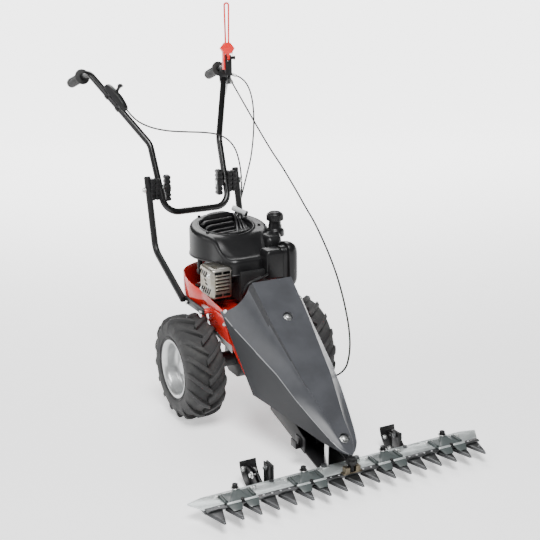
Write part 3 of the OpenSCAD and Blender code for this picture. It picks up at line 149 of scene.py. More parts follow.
class Look:
    """One material under construction."""

    def __init__(self, name):
        self.material = bpy.data.materials.new(name)
        self.material.use_nodes = True
        self.tree = self.material.node_tree
        self.tree.nodes.clear()
        self.place = self.node("ShaderNodeTexCoord", output="Object")

    def node(self, kind, settings=None, inputs=None, output=0):
        plain = {key: getattr(value, "socket", value) for key, value in (inputs or {}).items()}
        made = add_node(self.tree, kind, settings, plain)
        return Value(self, made.outputs[output]) if made.outputs else None

    def stretched(self, scale):
        return self.node("ShaderNodeMapping", inputs={"Vector": self.place, "Scale": scale})

    def noise(self, scale, detail=3, rough=0.55, place=None):
        inputs = {"Vector": place or self.place, "Scale": scale, "Detail": detail, "Roughness": rough}
        return self.node("ShaderNodeTexNoise", inputs=inputs)

    def cells(self, scale):
        return self.node("ShaderNodeTexVoronoi", inputs={"Vector": self.place, "Scale": scale},
                         output="Color")

    def mix(self, share, first, second):
        inputs = {0: share, 6: first, 7: second}
        return self.node("ShaderNodeMix", {"data_type": "RGBA"}, inputs, output=2)

    def bump(self, height, strength, distance):
        return self.node("ShaderNodeBump",
                         inputs={"Height": height, "Strength": strength, "Distance": distance})

    def done(self, color, roughness, normal=None, metallic=0.0, coat=0.0, specular=0.5, glow=None,
             shine=0.0):
        inputs = {"Base Color": color, "Roughness": roughness, "Metallic": metallic, "Coat Weight": coat,
                  "Coat Roughness": 0.05, "Specular IOR Level": specular}
        if glow:
            inputs.update({"Emission Color": glow, "Emission Strength": shine})
        if normal:
            inputs["Normal"] = normal
        shader = self.node("ShaderNodeBsdfPrincipled", inputs=inputs)
        self.node("ShaderNodeOutputMaterial", inputs={"Surface": shader})
        return self.material


def rgb(color, share=1.0):
    """Colour with its alpha, darker or lighter by a share."""
    return (color[0] * share, color[1] * share, color[2] * share, 1)


def gloss_paint(name, color, rough=0.22, coat=0.6, grime=0.0, specular=0.5):
    """Sprayed enamel: an even colour with a faint orange peel and a little dust."""
    look = Look(name)
    cloud = look.noise(9, 4)
    base = look.mix(cloud.between(0.3, 0.75), rgb(color, 0.9), rgb(color, 1.06))
    if grime:
        dust = look.noise(38, 6, 0.65).between(0.52, 0.8) * grime
        base = look.mix(dust, base, rgb((0.2, 0.19, 0.17)))
    peel = look.noise(420, 2)
    return look.done(base, cloud * 0.1 + rough, look.bump(peel, 0.06, 0.0004), coat=coat, specular=specular)


def grained_plastic(name, color, rough=0.46, grain=1500, depth=0.16, specular=0.5, with_painted_light=False):
    """Moulded plastic with a fine grain; the flag adds a painted highlight on faces along the ridges, and
    painted shade with more roughness on the side walls.
    """
    look = Look(name)
    cloud = look.noise(14, 3)
    base = look.mix(cloud.between(0.3, 0.7), rgb(color, 0.88), rgb(color, 1.12))
    fine = look.noise(grain, 2, 0.6)
    sheen = cloud * 0.16 + rough - 0.08
    if with_painted_light:
        rub, side = (look.node("ShaderNodeAttribute", {"attribute_name": mark}, output="Fac")
                     for mark in PAINTED_LIGHT_MARKS)
        # Half the colour on faces turned sideways: painted shade of the side walls, which are also made rougher
        # below.
        base = look.mix(side, base, rgb(color, 0.5))
        # Pale grey on the faces along the ridges: a painted highlight of the ridge lines.
        base = look.mix(rub * (cloud * 0.6 + 0.4), base, rgb((0.3, 0.31, 0.32)))
        sheen = sheen + side * 0.24
    return look.done(base, sheen, look.bump(fine, depth, 0.0003), specular=specular)


def bare_metal(name, color, rough, stretch, stain):
    """Machined or plated metal with drawn-out scratches and darker stains."""
    look = Look(name)
    scratch = look.noise(360, 3, 0.6, look.stretched(stretch))
    cloud = look.noise(24, 5, 0.6)
    base = look.mix(cloud.between(0.35, 0.75) * stain, rgb(color), rgb(color, 0.45))
    height = look.bump(scratch, 0.12, 0.0003)
    return look.done(base, scratch * 0.16 + rough + cloud * 0.08, height, metallic=1.0)


def galvanised(name, color):
    """Hot-dipped zinc with its crystal spangle."""
    look = Look(name)
    spangle = look.cells(170)
    tone = look.node("ShaderNodeRGBToBW", inputs={"Color": spangle})
    fine = look.noise(300, 3)
    base = look.mix(tone, rgb(color, 0.9), rgb(color, 1.08))
    return look.done(base, tone * 0.16 + 0.34 + fine * 0.06, look.bump(tone + fine * 0.4, 0.05, 0.0003),
                     metallic=0.8)


def rubber(name, color, dusty=(0.12, 0.115, 0.105), rough=0.72):
    """Moulded rubber, paler where it is rubbed."""
    look = Look(name)
    cloud = look.noise(24, 5, 0.62)
    fine = look.noise(700, 3)
    base = look.mix(cloud.between(0.42, 0.8) * 0.55, rgb(color), rgb(dusty))
    return look.done(base, fine * 0.14 + rough - cloud * 0.1, look.bump(fine + cloud, 0.18, 0.0006),
                     specular=0.35)


def cast_metal(name, color, rough=0.5, metallic=0.85):
    """Sand-cast skin with a coarse grain."""
    look = Look(name)
    grain = look.noise(520, 4, 0.7)
    cloud = look.noise(20, 4)
    base = look.mix(cloud.between(0.3, 0.8), rgb(color, 0.75), rgb(color, 1.1))
    return look.done(base, grain * 0.2 + rough - 0.1, look.bump(grain, 0.3, 0.0005), metallic=metallic)


def heat_steel(name, color):
    """Heat-tinted guard steel with fine rolling lines."""
    look = Look(name)
    cloud = look.noise(26, 5, 0.6)
    lines = look.noise(260, 3, 0.5, look.stretched((1, 1, 9)))
    warm = look.mix(cloud.between(0.35, 0.7), rgb(color),
                    rgb((color[0] * 0.86, color[1] * 0.8, color[2] * 0.68)))
    return look.done(warm, lines * 0.14 + 0.26 + cloud * 0.1, look.bump(lines, 0.08, 0.0003), metallic=0.95)


FINISHES = {
    "red_paint": (gloss_paint, (0.62, 0.016, 0.009), 0.2, 0.7),
    # The slate plastic carries the painted ridge highlight and the painted shade of the side walls.
    "slate_plastic": (grained_plastic, (0.05, 0.052, 0.058), 0.34, 1300, 0.08, 0.3, True),
    "black_plastic": (grained_plastic, (0.007, 0.007, 0.0075), 0.34, 1700, 0.1, 0.3),
    "black_paint": (gloss_paint, (0.008, 0.008, 0.0085), 0.36, 0.0, 0.04, 0.3),
    "gloss_black": (gloss_paint, (0.005, 0.005, 0.0052), 0.2, 0.0, 0.0, 0.42),
    "silver_paint": (cast_metal, (0.6, 0.61, 0.61), 0.34, 0.8),
    "holder_paint": (gloss_paint, (0.058, 0.07, 0.069), 0.4, 0.2, 0.12),
    "zinc": (bare_metal, (0.75, 0.76, 0.75), 0.22, (1, 1, 4), 0.2),
    "galvanised": (galvanised, (0.62, 0.66, 0.655)),
    "dark_steel": (bare_metal, (0.12, 0.122, 0.125), 0.36, (1, 8, 1), 0.4),
    "steel": (bare_metal, (0.55, 0.56, 0.57), 0.2, (1, 1, 6), 0.2),
    "heat_steel": (heat_steel, (0.32, 0.31, 0.288)),
    "cast_alloy": (cast_metal, (0.3, 0.305, 0.31)),
    "cast_black": (cast_metal, (0.016, 0.0165, 0.017), 0.5, 0.1),
    "driver_brass": (bare_metal, (0.17, 0.145, 0.105), 0.34, (1, 1, 1), 0.6),
    "black_rubber": (rubber, (0.012, 0.012, 0.012), (0.03, 0.03, 0.03), 0.55),
    "tyre_rubber": (rubber, (0.03, 0.03, 0.0305), (0.075, 0.074, 0.07)),
    "red_plastic": (grained_plastic, (0.66, 0.014, 0.012), 0.26, 900, 0.05),
    "grey_plastic": (grained_plastic, (0.5, 0.51, 0.51), 0.42, 1200, 0.12),
}
LOOKS = {}


# Mesh making


class Shape:
    """Points and faces of a piece while it is put together."""

    def __init__(self):
        self.points = []
        self.faces = []

    def add(self, points, faces, place=None):
        start = len(self.points)
        self.points += [place @ Vector(p) if place else Vector(p) for p in points]
        self.faces += [[i + start for i in face] for face in faces]
        return self

    def join(self, other):
        return self.add(other.points, other.faces)

    def loft(self, rings, closed=True, caps=True, place=None):
        """Skin through rings of equally many points; closed joins each ring's ends."""
        n = len(rings[0])
        span = n if closed else n - 1
        faces = [[k * n + i, k * n + (i + 1) % n, (k + 1) * n + (i + 1) % n, (k + 1) * n + i]
                 for k in range(len(rings) - 1) for i in range(span)]
        if caps and closed:
            faces += [list(range(n))[::-1], [(len(rings) - 1) * n + i for i in range(n)]]
        return self.add([p for ring in rings for p in ring], faces, place)

    def lathe(self, profile, steps=48, place=None):
        """Solid of revolution about Z; the profile of (radius, height) closes on itself or the axis."""
        rings = [[(r * math.cos(a), r * math.sin(a), z) for r, z in profile]
                 for a in (2 * math.pi * k / steps for k in range(steps))]
        n = len(profile)
        loop = profile[0][0] > 1e-6 and profile[-1][0] > 1e-6
        faces = [[k * n + i, k * n + (i + 1) % n, (k + 1) % steps * n + (i + 1) % n, (k + 1) % steps * n + i]
                 for k in range(steps) for i in range(n if loop else n - 1)]
        return self.add([p for ring in rings for p in ring], faces, place)

    def prism(self, outline, low, high, place=None):
        """Outline in X and Y, from low to high along Z."""
        rings = [[(x, y, z) for x, y in outline] for z in (low, high)]
        return self.loft(rings, True, True, place)

    def disc(self, r, low, high, steps, place):
        return self.lathe([(0, low), (r, low), (r, high), (0, high)], steps, place)

    def bolt(self, place, r, head=None, washer=1.75):
        """Hex head with a domed top on a flat washer; r is the radius across the flats."""
        head = head or r * 1.05
        rim, base = r * washer, r * 0.3
        self.lathe([(0, 0), (rim, 0), (rim, r * 0.22), (rim * 0.94, base), (0, base)], 24, place)
        stations = ((base, 1.1), (base + head * 0.86, 1.1), (base + head, 0.96))
        return self.loft([[(x, y, z) for x, y in circle(r * s, 6)] for z, s in stations], place=place)

    def box(self, low, high):
        outline = [(low[0], low[1]), (high[0], low[1]), (high[0], high[1]), (low[0], high[1])]
        return self.prism(outline, low[2], high[2])


def axes(origin, z=(0, 0, 1), x_hint=(1, 0, 0)):
    """Matrix with its Z along z at origin and its X as near x_hint as it can be."""
    z = Vector(z).normalized()
    x = Vector(x_hint) - z * z.dot(Vector(x_hint))
    if x.length < 1e-6:
        x = Vector((0, 1, 0)) - z * z.y
    x.normalize()
    y = z.cross(x)
    m = Matrix((x, y, z)).transposed().to_4x4()
    m.translation = Vector(origin)
    return m


def upright(x, y=0):
    """Frame of a plate that stands along the mower: its X to the rear, its Y up."""
    return axes(at(x, y, 0), (1, 0, 0), (0, 1, 0))


def rounded(outline, radius, steps=4):
    """Outline with each corner turned to a round one."""
    made = []
    n = len(outline)
    for i in range(n):
        a, b, c = (Vector(outline[(i + k) % n]) for k in (-1, 0, 1))
        u, v = (a - b), (c - b)
        cut = min(radius, u.length * 0.48, v.length * 0.48)
        p, q = b + u.normalized() * cut, b + v.normalized() * cut
        for k in range(steps + 1):
            t = k / steps
            made.append(tuple(p * (1 - t) ** 2 + b * 2 * t * (1 - t) + q * t ** 2))
    return made


def stadium(length, width, steps=8):
    """Slot outline along X with round ends."""
    r = width / 2
    ends = [(length / 2 - r, -90), (r - length / 2, 90)]
    return [(cx + r * math.cos(math.radians(a + 180 * k / steps)),
             r * math.sin(math.radians(a + 180 * k / steps)))
            for cx, a in ends for k in range(steps + 1)]


def circle(r, steps):
    """Outline of a circle, or of a polygon where the steps are few."""
    return [(r * math.cos(a), r * math.sin(a)) for a in (math.radians(360 * k / steps) for k in range(steps))]


def placed(name, data):
    """A new object in the scene."""
    made = bpy.data.objects.new(name, data)
    bpy.context.scene.collection.objects.link(made)
    return made


def reworked(mesh, merge=0.0, flat=0.0, outward=False):
    """Merges near points, joins faces that lie flat together and turns the faces outward, as asked."""
    work = bmesh.new()
    work.from_mesh(mesh)
    if merge:
        bmesh.ops.remove_doubles(work, verts=work.verts, dist=merge)
    if flat:
        bmesh.ops.dissolve_limit(work, angle_limit=math.radians(flat), verts=work.verts, edges=work.edges)
    if outward:
        bmesh.ops.recalc_face_normals(work, faces=work.faces)
    work.to_mesh(mesh)
    work.free()
    return mesh


def as_object(name, shape):
    """Plain object from a shape, with its doubles merged and its faces outward."""
    mesh = bpy.data.meshes.new(name)
    mesh.from_pydata([tuple(p) for p in shape.points], [], shape.faces)
    return placed(name, reworked(mesh, 1e-7, outward=True))


def settle(made):
    """Turns an object's modifiers into its plain mesh."""
    bpy.context.view_layer.update()
    graph = bpy.context.evaluated_depsgraph_get()
    mesh = bpy.data.meshes.new_from_object(made.evaluated_get(graph), preserve_all_data_layers=True,
                                           depsgraph=graph)
    made.modifiers.clear()
    old = made.data
    if made.type == "MESH":
        made.data = mesh
        bpy.data.meshes.remove(old)
        return made
    fresh = placed(made.name + ".mesh", mesh)
    name = made.name
    bpy.data.objects.remove(made)
    fresh.name = name
    return fresh


def soften(made, width=0.001, segments=2, angle=32, wall=0.0):
    """Gives a piece its wall and its rounded edges."""
    if wall:
        shell = made.modifiers.new("Wall", "SOLIDIFY")
        shell.thickness = wall
        shell.offset = -1
    if width:
        edge = made.modifiers.new("Edges", "BEVEL")
        edge.width = width
        edge.segments = segments
        edge.limit_method = "ANGLE"
        edge.angle_limit = math.radians(angle)
        edge.use_clamp_overlap = True
    return settle(made) if made.modifiers else made


def dress(made, finish, body, *nodes, smooth=38):
    """Finish, smooth shading, body and the CAD nodes that a piece stands for."""
    mesh = made.data
    mesh.materials.clear()
    mesh.materials.append(LOOKS[finish])
    mesh.polygons.foreach_set("use_smooth", [True] * len(mesh.polygons))
    mesh.polygons.foreach_set("material_index", [0] * len(mesh.polygons))
    mesh.set_sharp_from_angle(angle=math.radians(smooth))
    if body:
        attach(made, body)
    if nodes:
        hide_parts(*nodes)
    return made


def piece(name, shape, finish, body, *nodes, edge=0.001, segments=2, angle=32, smooth=38):
    """A shape with rounded edges and its finish, riding its body."""
    made = soften(as_object(name, shape), edge, segments, angle)
    return dress(made, finish, body, *nodes, smooth=smooth)


def cad_copy(name, node, finish, body, edge=0.0008, segments=2, angle=32):
    """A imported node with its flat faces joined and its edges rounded."""
    made = placed(name, frame["nodes"][node].data.copy())
    reworked(made.data, 2e-6, 0.8)
    return dress(soften(made, edge, segments, angle), finish, body, node)


def carve(made, cutter):
    """Cuts one shape out of another and removes the cutter."""
    cut = made.modifiers.new("Cut", "BOOLEAN")
    cut.operation = "DIFFERENCE"
    cut.solver = "EXACT"
    cut.use_self = True
    cut.object = cutter
    made = settle(made)
    bpy.data.objects.remove(cutter)
    return made


# Node trees for what repeats or follows a path


class Grower:
    """A geometry tree under construction; what it is given has a socket for each keyword."""

    def __init__(self, name, **given):
        self.tree = bpy.data.node_groups.new(name, "GeometryNodeTree")
        for key, kind in {"geometry": "Geometry", **given, "finish": "Material"}.items():
            label = key.replace("_", " ").capitalize()
            self.tree.interface.new_socket(label, in_out="INPUT", socket_type="NodeSocket" + kind)
        self.tree.interface.new_socket("Geometry", in_out="OUTPUT", socket_type="NodeSocketGeometry")
        self.given = self.tree.nodes.new("NodeGroupInput").outputs

    def node(self, kind, settings=None, inputs=None):
        return add_node(self.tree, kind, settings, inputs).outputs[0]

    def copies(self, points, **more):
        """Copies of the given item, one on each point."""
        item = add_node(self.tree, "GeometryNodeObjectInfo", inputs={"Object": self.given["Item"]})
        inputs = {"Points": points, "Instance": item.outputs["Geometry"], **more}
        return self.node("GeometryNodeInstanceOnPoints", inputs=inputs)

    def end(self, geometry):
        """The finished tree, with the geometry made real and given its finish."""
        real = self.node("GeometryNodeRealizeInstances", inputs={"Geometry": geometry})
        inputs = {"Geometry": real, "Material": self.given["Finish"]}
        add_node(self.tree, "NodeGroupOutput",
                 inputs={0: self.node("GeometryNodeSetMaterial", inputs=inputs)})
        return self.tree


def row_tree():
    """Copies of an item along a straight line."""
    grow = Grower("Row of items", item="Object", count="Int", start="Vector", step="Vector")
    inputs = {"Count": grow.given["Count"], "Start Location": grow.given["Start"],
              "Offset": grow.given["Step"]}
    return grow.end(grow.copies(grow.node("GeometryNodeMeshLine", {"mode": "OFFSET"}, inputs)))


def ring_tree():
    """Copies of an item turned round the Z axis."""
    grow = Grower("Ring of items", item="Object", count="Int", step_angle="Float", first_angle="Float")
    inputs = {"Count": grow.given["Count"], "Offset": (0, 0, 0)}
    line = grow.node("GeometryNodeMeshLine", {"mode": "OFFSET"}, inputs)
    inputs = {0: grow.node("GeometryNodeInputIndex"), 1: grow.given["Step angle"],
              2: grow.given["First angle"]}
    angle = grow.node("ShaderNodeMath", {"operation": "MULTIPLY_ADD"}, inputs)
    turn = grow.node("FunctionNodeAxisAngleToRotation", inputs={"Axis": (0, 0, 1), "Angle": angle})
    return grow.end(grow.copies(line, Rotation=turn))


def pipe_tree():
    """Round bar along a path."""
    grow = Grower("Bar on a path", radius="Float", sides="Int")
    inputs = {"Resolution": grow.given["Sides"], "Radius": grow.given["Radius"]}
    around = grow.node("GeometryNodeCurvePrimitiveCircle", inputs=inputs)
    inputs = {"Curve": grow.given["Geometry"], "Profile Curve": around, "Fill Caps": True}
    return grow.end(grow.node("GeometryNodeCurveToMesh", inputs=inputs))


TREES = {}


def grown(host, kind, **values):
    """Runs a node tree on an object and returns its plain mesh object."""
    tree = TREES[kind]
    modifier = host.modifiers.new("Grow", "NODES")
    modifier.node_group = tree
    for socket in tree.interface.items_tree:
        label = socket.name.lower().replace(" ", "_")
        if socket.in_out == "INPUT" and label in values:
            modifier[socket.identifier] = values[label]
    return settle(host)


def row(name, item, count, start, step, finish):
    """Copies of a template along a line; the template is used up."""
    made = grown(as_object(name, Shape()), "row", item=item, count=count, start=tuple(start),
                 step=tuple(step), finish=LOOKS[finish])
    bpy.data.objects.remove(item)
    return made


def ring(name, item, count, finish, first=0.0, place=None):
    """Copies of a template round Z, then moved to their place; the template is used up."""
    made = grown(as_object(name, Shape()), "ring", item=item, count=count, step_angle=math.tau / count,
                 first_angle=first, finish=LOOKS[finish])
    bpy.data.objects.remove(item)
    if place:
        made.data.transform(place)
    return made


def joined(name, parts):
    """One object from several, which are used up."""
    work = bmesh.new()
    for part in parts:
        work.from_mesh(part.data)
        bpy.data.objects.remove(part)
    mesh = bpy.data.meshes.new(name)
    work.to_mesh(mesh)
    work.free()
    return placed(name, mesh)


def bent(points, bends, steps=10):
    """Path through points with a round bend of its own radius at each inner one."""
    path = [Vector(points[0])]
    for i in range(1, len(points) - 1):
        a, b, c = (Vector(points[k]) for k in (i - 1, i, i + 1))
        u, v = (b - a).normalized(), (c - b).normalized()
        turn = u.angle(v)
        cut = bends[i] * math.tan(turn / 2)
        inward = (v - u * u.dot(v)).normalized()
        centre = b - u * cut + inward * bends[i]
        for k in range(steps + 1):
            t = turn * k / steps
            path.append(centre - inward * bends[i] * math.cos(t) + u * bends[i] * math.sin(t))
    path.append(Vector(points[-1]))
    return path


def smooth_path(points, steps=6):
    """Even curve through the points."""
    p = [Vector(q) for q in points]
    p = [p[0] * 2 - p[1]] + p + [p[-1] * 2 - p[-2]]
    path = []
    for i in range(1, len(p) - 2):
        for k in range(steps):
            t = k / steps
            a, b, c, d = p[i - 1:i + 3]
            path.append(0.5 * (b * 2 + (c - a) * t + (a * 2 - b * 5 + c * 4 - d) * t * t
                               + (b * 3 - a - c * 3 + d) * t ** 3))
    path.append(p[-2])
    return path


def bar(name, path, radius, finish, sides=20):
    """Round bar along a path, grown by its tree."""
    curve = bpy.data.curves.new(name, "CURVE")
    curve.dimensions = "3D"
    spline = curve.splines.new("POLY")
    spline.points.add(len(path) - 1)
    for point, place in zip(spline.points, path):
        point.co = (*place, 1)
    made = grown(placed(name, curve), "pipe", radius=radius, sides=sides, finish=LOOKS[finish])
    reworked(made.data, outward=True)
    return made


# Settings a user would change


def length(label, about, value):
    """Setting for a length in metres."""
    return FloatProperty(name=label, description=about, default=value, min=0.0001, unit="LENGTH", precision=4)


def amount(label, about, value, low=0):
    """Setting for a plain amount."""
    return FloatProperty(name=label, description=about, default=value, min=low)


def number(label, about, value, low=1, high=64):
    """Setting for a whole number."""
    return IntProperty(name=label, description=about, default=value, min=low, max=high)


class StageSettings(bpy.types.PropertyGroup):
    """Floor, lamps and lens"""
    floor_size: length("Floor size", "Distance across the pale floor", 160)
    floor_tint: FloatVectorProperty(name="Floor tint", description="Colour of the floor", subtype="COLOR",
                                    size=3, default=(0.93, 0.93, 0.935), min=0, max=1)
    key_power: amount("Key power", "Strength of the soft key light", 230)
    floor_glow: amount("Floor glow", "Light of the floor itself, as of a lit sweep", 4.0)
    lens: amount("Lens", "Focal length of the camera in millimetres", 69.5, 1)


class WheelSettings(bpy.types.PropertyGroup):
    """Wheels and their tread"""
    track: length("Half track", "From the middle of the mower to the middle of a tyre", 0.193)
    lugs: number("Lugs a side", "Tread lugs on each half of a tyre", 16, 6, 32)
    lug_lean: length("Lug lean", "How far a lug leans round the tyre from its middle to its shoulder", 0.06)
    lug_width: length("Lug width", "Width of a lug at its top", 0.015)


class CoverSettings(bpy.types.PropertyGroup):
    """Front cover"""
    wall: length("Wall", "Thickness of the moulded cover", 0.003)
    recess: length("Recess radius", "Radius of the two bolt recesses", 0.0168)


class EngineSettings(bpy.types.PropertyGroup):
    """Engine shroud, cap and guard"""
    drum: length("Drum radius", "Radius of the engine shroud's round part", 0.127)
    opening: length("Opening radius", "Radius of the starter opening", 0.085)
    fillet: length("Fillet", "Rounding of the shroud's upper edge", 0.016)
    cap_ribs: number("Cap ribs", "Ribs round the fuel cap", 24, 8, 48)
    guard_slots: number("Guard slots", "Louvres on the front of the muffler guard", 5, 2, 10)


class HandleSettings(bpy.types.PropertyGroup):
    """Handle tubes, grips and clamps"""
    tube: length("Tube radius", "Outer radius of the handle tubes", 0.011)
    grip: length("Grip radius", "Outer radius of the rubber grips", 0.0175)
    grip_ribs: number("Grip ribs", "Raised ribs round a grip", 18, 6, 40)
    clamp_ribs: number("Clamp ribs", "Ribs on a clamp block", 5, 3, 15)


class BarSettings(bpy.types.PropertyGroup):
    """Comb and knife"""
    teeth: number("Teeth", "Teeth of the comb", 17, 5, 31)
    pitch: length("Pitch", "Distance between two teeth", 0.051)
    tooth_edge: length("Ground edge", "Width of the ground edge of a section", 0.0045)


# Cables and wheels

KNIFE_ROUTE = [
    (251, 592, 962), (250, 560, 942), (248, 500, 905), (245, 420, 856), (242, 340, 808), (239, 262, 764),
    (234, 186, 729), (227, 120, 699), (218, 50, 668), (209, -20, 635), (201, -90, 602), (193, -152, 566),
    (185, -210, 528), (177, -264, 486), (169, -310, 442), (160, -350, 398), (150, -384, 358),
    (140, -408, 322), (131, -421, 292), (124, -424, 266), (121, -420, 250), (117, -410, 234),
    (112, -399, 222), (106, -394, 217), (100, -394, 217)]
THROTTLE_ROUTE = [
    (-175, 523, 902), (-163, 503, 881), (-145, 480, 862), (-110, 452, 845), (-60, 430, 834), (0, 416, 828),
    (60, 408, 822), (105, 402, 812), (140, 398, 792), (165, 396, 760), (180, 396, 715), (187, 396, 665),
    (187, 394, 620), (178, 390, 580), (162, 384, 545), (148, 372, 510), (136, 345, 475), (122, 300, 450),
    (104, 245, 440), (98, 205, 436), (94, 182, 433), (86, 168, 432), (75, 168, 432)]
TRACTION_ROUTE = [
    (270, 604, 984), (282, 590, 978), (294, 570, 962), (300, 548, 935), (298, 522, 895), (286, 490, 845),
    (266, 456, 785), (240, 424, 720), (214, 404, 665), (199, 400, 622), (186, 398, 582), (170, 394, 545),
    (155, 380, 508), (143, 352, 468), (135, 310, 425), (130, 268, 384), (127, 240, 353), (126, 224, 345),
    (126, 211, 345)]
CABLE_R = 0.00275
BOLT_CIRCLE, WHEEL_BOLTS = 0.048, 4


class MOWER_OT_cables(bpy.types.Operator):
    """Knife, throttle and drive cables from the handle to the chassis"""
    bl_idname = "mower.cables"
    bl_label = "Cables"

    def execute(self, context):
        cables = [("knife_line", KNIFE_ROUTE, "knife_cable", (190, -150, 566), (248, 500, 905)),
                  ("throttle_line", THROTTLE_ROUTE, "control_cables", (150, 372, 510), (180, 396, 740)),
                  ("drive_line", TRACTION_ROUTE, "control_cables", (150, 372, 510), (180, 396, 740))]
        for name, route, node, start, end in cables:
            path = smooth_path([at(*p) for p in route])
            made = dress(bar(name, path, CABLE_R, "black_rubber", 12), "black_rubber", None, node, smooth=60)
            reach = sum((b - a).length for a, b in zip(path, path[1:]))
            at(*start)
            at(*end)
            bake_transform(made)
        return {"FINISHED"}


TYRE = [(82, -50), (89, -54), (97, -58), (108, -61.2), (120, -62.4), (131, -61.2), (140, -57.5), (146.5, -51),
        (150, -42), (151, -30), (151.4, -14)]
RIM = [(13, 26), (24, 26), (26.5, 23.5), (26.5, 18), (33, 13.5), (48, 10.5), (60, 9.5), (69, 11),
       (74.5, 15.5), (77, 23), (77, 42), (79, 49), (83, 54), (87, 57.2), (90, 58.2), (92.4, 57.4),
       (92.6, 54.8), (88, 51.5), (83, 46), (80.5, 42), (80, 38), (80, -38), (80.5, -42), (83, -46),
       (87, -47.4), (89, -49), (88.6, -51.2), (86.5, -51.5), (83, -50), (79, -47), (77, -42), (77, 6),
       (72, 4), (60, 5), (48, 6.5), (33, 9.5), (26.5, 12), (26.5, -40), (13, -40)]


def wheel_place(side, sizes):
    """Wheel frame: Z outward along the axle, X to the front."""
    return axes(at(side * sizes.track * 1000, 0, AXLE_Z), (side, 0, 0), (0, -1, 0))


def tread_lug(side, half, sizes):
    """One lug of a tread half: on the front of the tyre it rises from the middle to the shoulder."""
    rings = []
    stations = [(-5, 164.4, 0.0), (8, 165, 0.16), (24, 164.6, 0.38), (40, 162.5, 0.64), (52, 157.5, 0.86),
                (59.5, 147, 1.0), (62.4, 133, 1.03)]
    for reach, top, share in stations:
        wide = sizes.lug_width * 500
        turn = -side * share * sizes.lug_lean * 1000
        base = top - (17 if reach < 50 else 20)
        section = [(base, -wide * 1.3), (top - 1.2, -wide), (top, -wide * 0.8), (top, wide * 0.8),
                   (top - 1.2, wide), (base, wide * 1.3)]
        ringed = []
        for r, y in section:
            a = (y + turn) / 158
            ringed.append(Vector((r * math.cos(a), r * math.sin(a), reach * half)) / 1000)
        rings.append(ringed)
    return as_object("lug", Shape().loft(rings))


class MOWER_OT_wheels(bpy.types.Operator):
    """Cleated tyres on dished steel rims"""
    bl_idname = "mower.wheels"
    bl_label = "Wheels"

    def execute(self, context):
        sizes = context.scene.mower_wheels
        for side, word in SIDES:
            place = wheel_place(side, sizes)
            outline = mm(TYRE + [(r, -z) for r, z in reversed(TYRE)] + [(79.5, 44), (79.5, -44)])
            carcass = as_object("carcass", Shape().lathe(outline, 96, place))
            step = 2 * math.pi / sizes.lugs
            halves = [ring("tread", soften(tread_lug(side, half, sizes), 0.0008, 1, 40), sizes.lugs,
                           "tyre_rubber", step * (half + 1) / 4, place=place) for half in (-1, 1)]
            beads = Shape()
            for z in (-52.5, 52.5):
                beads.lathe(mm((101 + x, z * 1.14 + y) for x, y in circle(1.6, 8)), 72, place)
            made = joined("tyre_tread_" + word, [carcass, as_object("beads", beads)] + halves)
            dress(made, "tyre_rubber", "wheel_" + word, "tyre_" + word, smooth=36)
            shape = Shape().lathe(mm(RIM), 80, place)
            valve = place @ axes((0.06, 0.0, 0.009), (0.5, 0, 1))
            shape.lathe([(0, -0.002), (0.0042, -0.002), (0.0042, 0.012), (0.003, 0.014), (0.003, 0.026),
                         (0, 0.026)],
                        12, valve)
            piece("wheel_rim_" + word, shape, "silver_paint", "wheel_" + word, "rim_" + word, edge=0)
            bolt = as_object("bolt", Shape().bolt(axes((BOLT_CIRCLE, 0, 0.0103)), 0.0052))
            bolts = ring("wheel_bolts_" + word, soften(bolt, 0.0005, 1), WHEEL_BOLTS, "zinc", math.pi / 4,
                         place=place)
            dress(bolts, "zinc", "wheel_" + word)
        return {"FINISHED"}


# Front cover and chassis

PANEL_X = [(-648, 5), (-638, 14), (-622, 19), (-573, 22), (-525, 32), (-460, 46), (-295, 62), (-191, 66)]
PANEL_Z = [(-648, 104), (-638, 114), (-615, 134), (-293, 387), (-191, 468), (-119, 525)]
RIDGE_X = [(-648, 8), (-638, 22), (-626, 32), (-593, 44), (-532, 61), (-468, 77), (-390, 91), (-119, 141)]
RIDGE_Z = [(-648, 102), (-626, 119), (-468, 210), (-390, 255), (-186, 338), (-119, 372)]
RAIL_Z = [(-648, 98), (-626, 108), (-578, 113), (-500, 128), (-390, 143), (-285, 153)]
PANEL_NORMAL = Vector((0, -math.sin(math.radians(38)), math.cos(math.radians(38))))
COVER_BOLTS = [(0, -293, 387), (0, -615, 134)]
COVER_TIP, COVER_END = -648, -650.5
PANEL_REAR = -189
PAN_ARC = (-17, 174)
REAR_MOST, REAR_LEAST = -119, -285
# Reach from a ridge line within which a face of the cover gets the painted highlight.
PAINTED_HIGHLIGHT_REACH = 1.4
# Slant beyond which a face of the cover gets the painted shade.
SHADED_WALL_TILT = 0.93


def cover_point(zone, t, y):
    """Place on the right half of the cover: zone is panel, flank or wall, and t runs across it."""
    px, pz, rx, rz = (lookup(y, table) for table in (PANEL_X, PANEL_Z, RIDGE_X, RIDGE_Z))
    if zone == "panel":
        return Vector((px * t, y, pz))
    if zone == "flank":
        return Vector((px + (rx - px) * t ** 1.7, y, pz + (rz - pz) * t))
    return Vector((rx - 1.5 * t, y, rz + (lookup(y, RAIL_Z) - rz) * t))


def cover_rear(zone, t):
    """Rear end of the cover: straight on the panel, round the pan on the flank, slanted on the wall."""
    if zone == "panel":
        return PANEL_REAR
    y = -150
    for _ in range(40):
        p = cover_point(zone, t, y)
        if zone == "flank":
            aim = PAN_ARC[0] - math.sqrt(max(PAN_ARC[1] ** 2 - p.x ** 2, 0))
            aim = PANEL_REAR + (aim - PANEL_REAR) * ease(0, 0.16, t)
        else:
            aim = -121 + (p.z - 380) * 164 / 240
        y += (min(max(aim, REAR_LEAST), REAR_MOST) - y) * 0.5
    return y


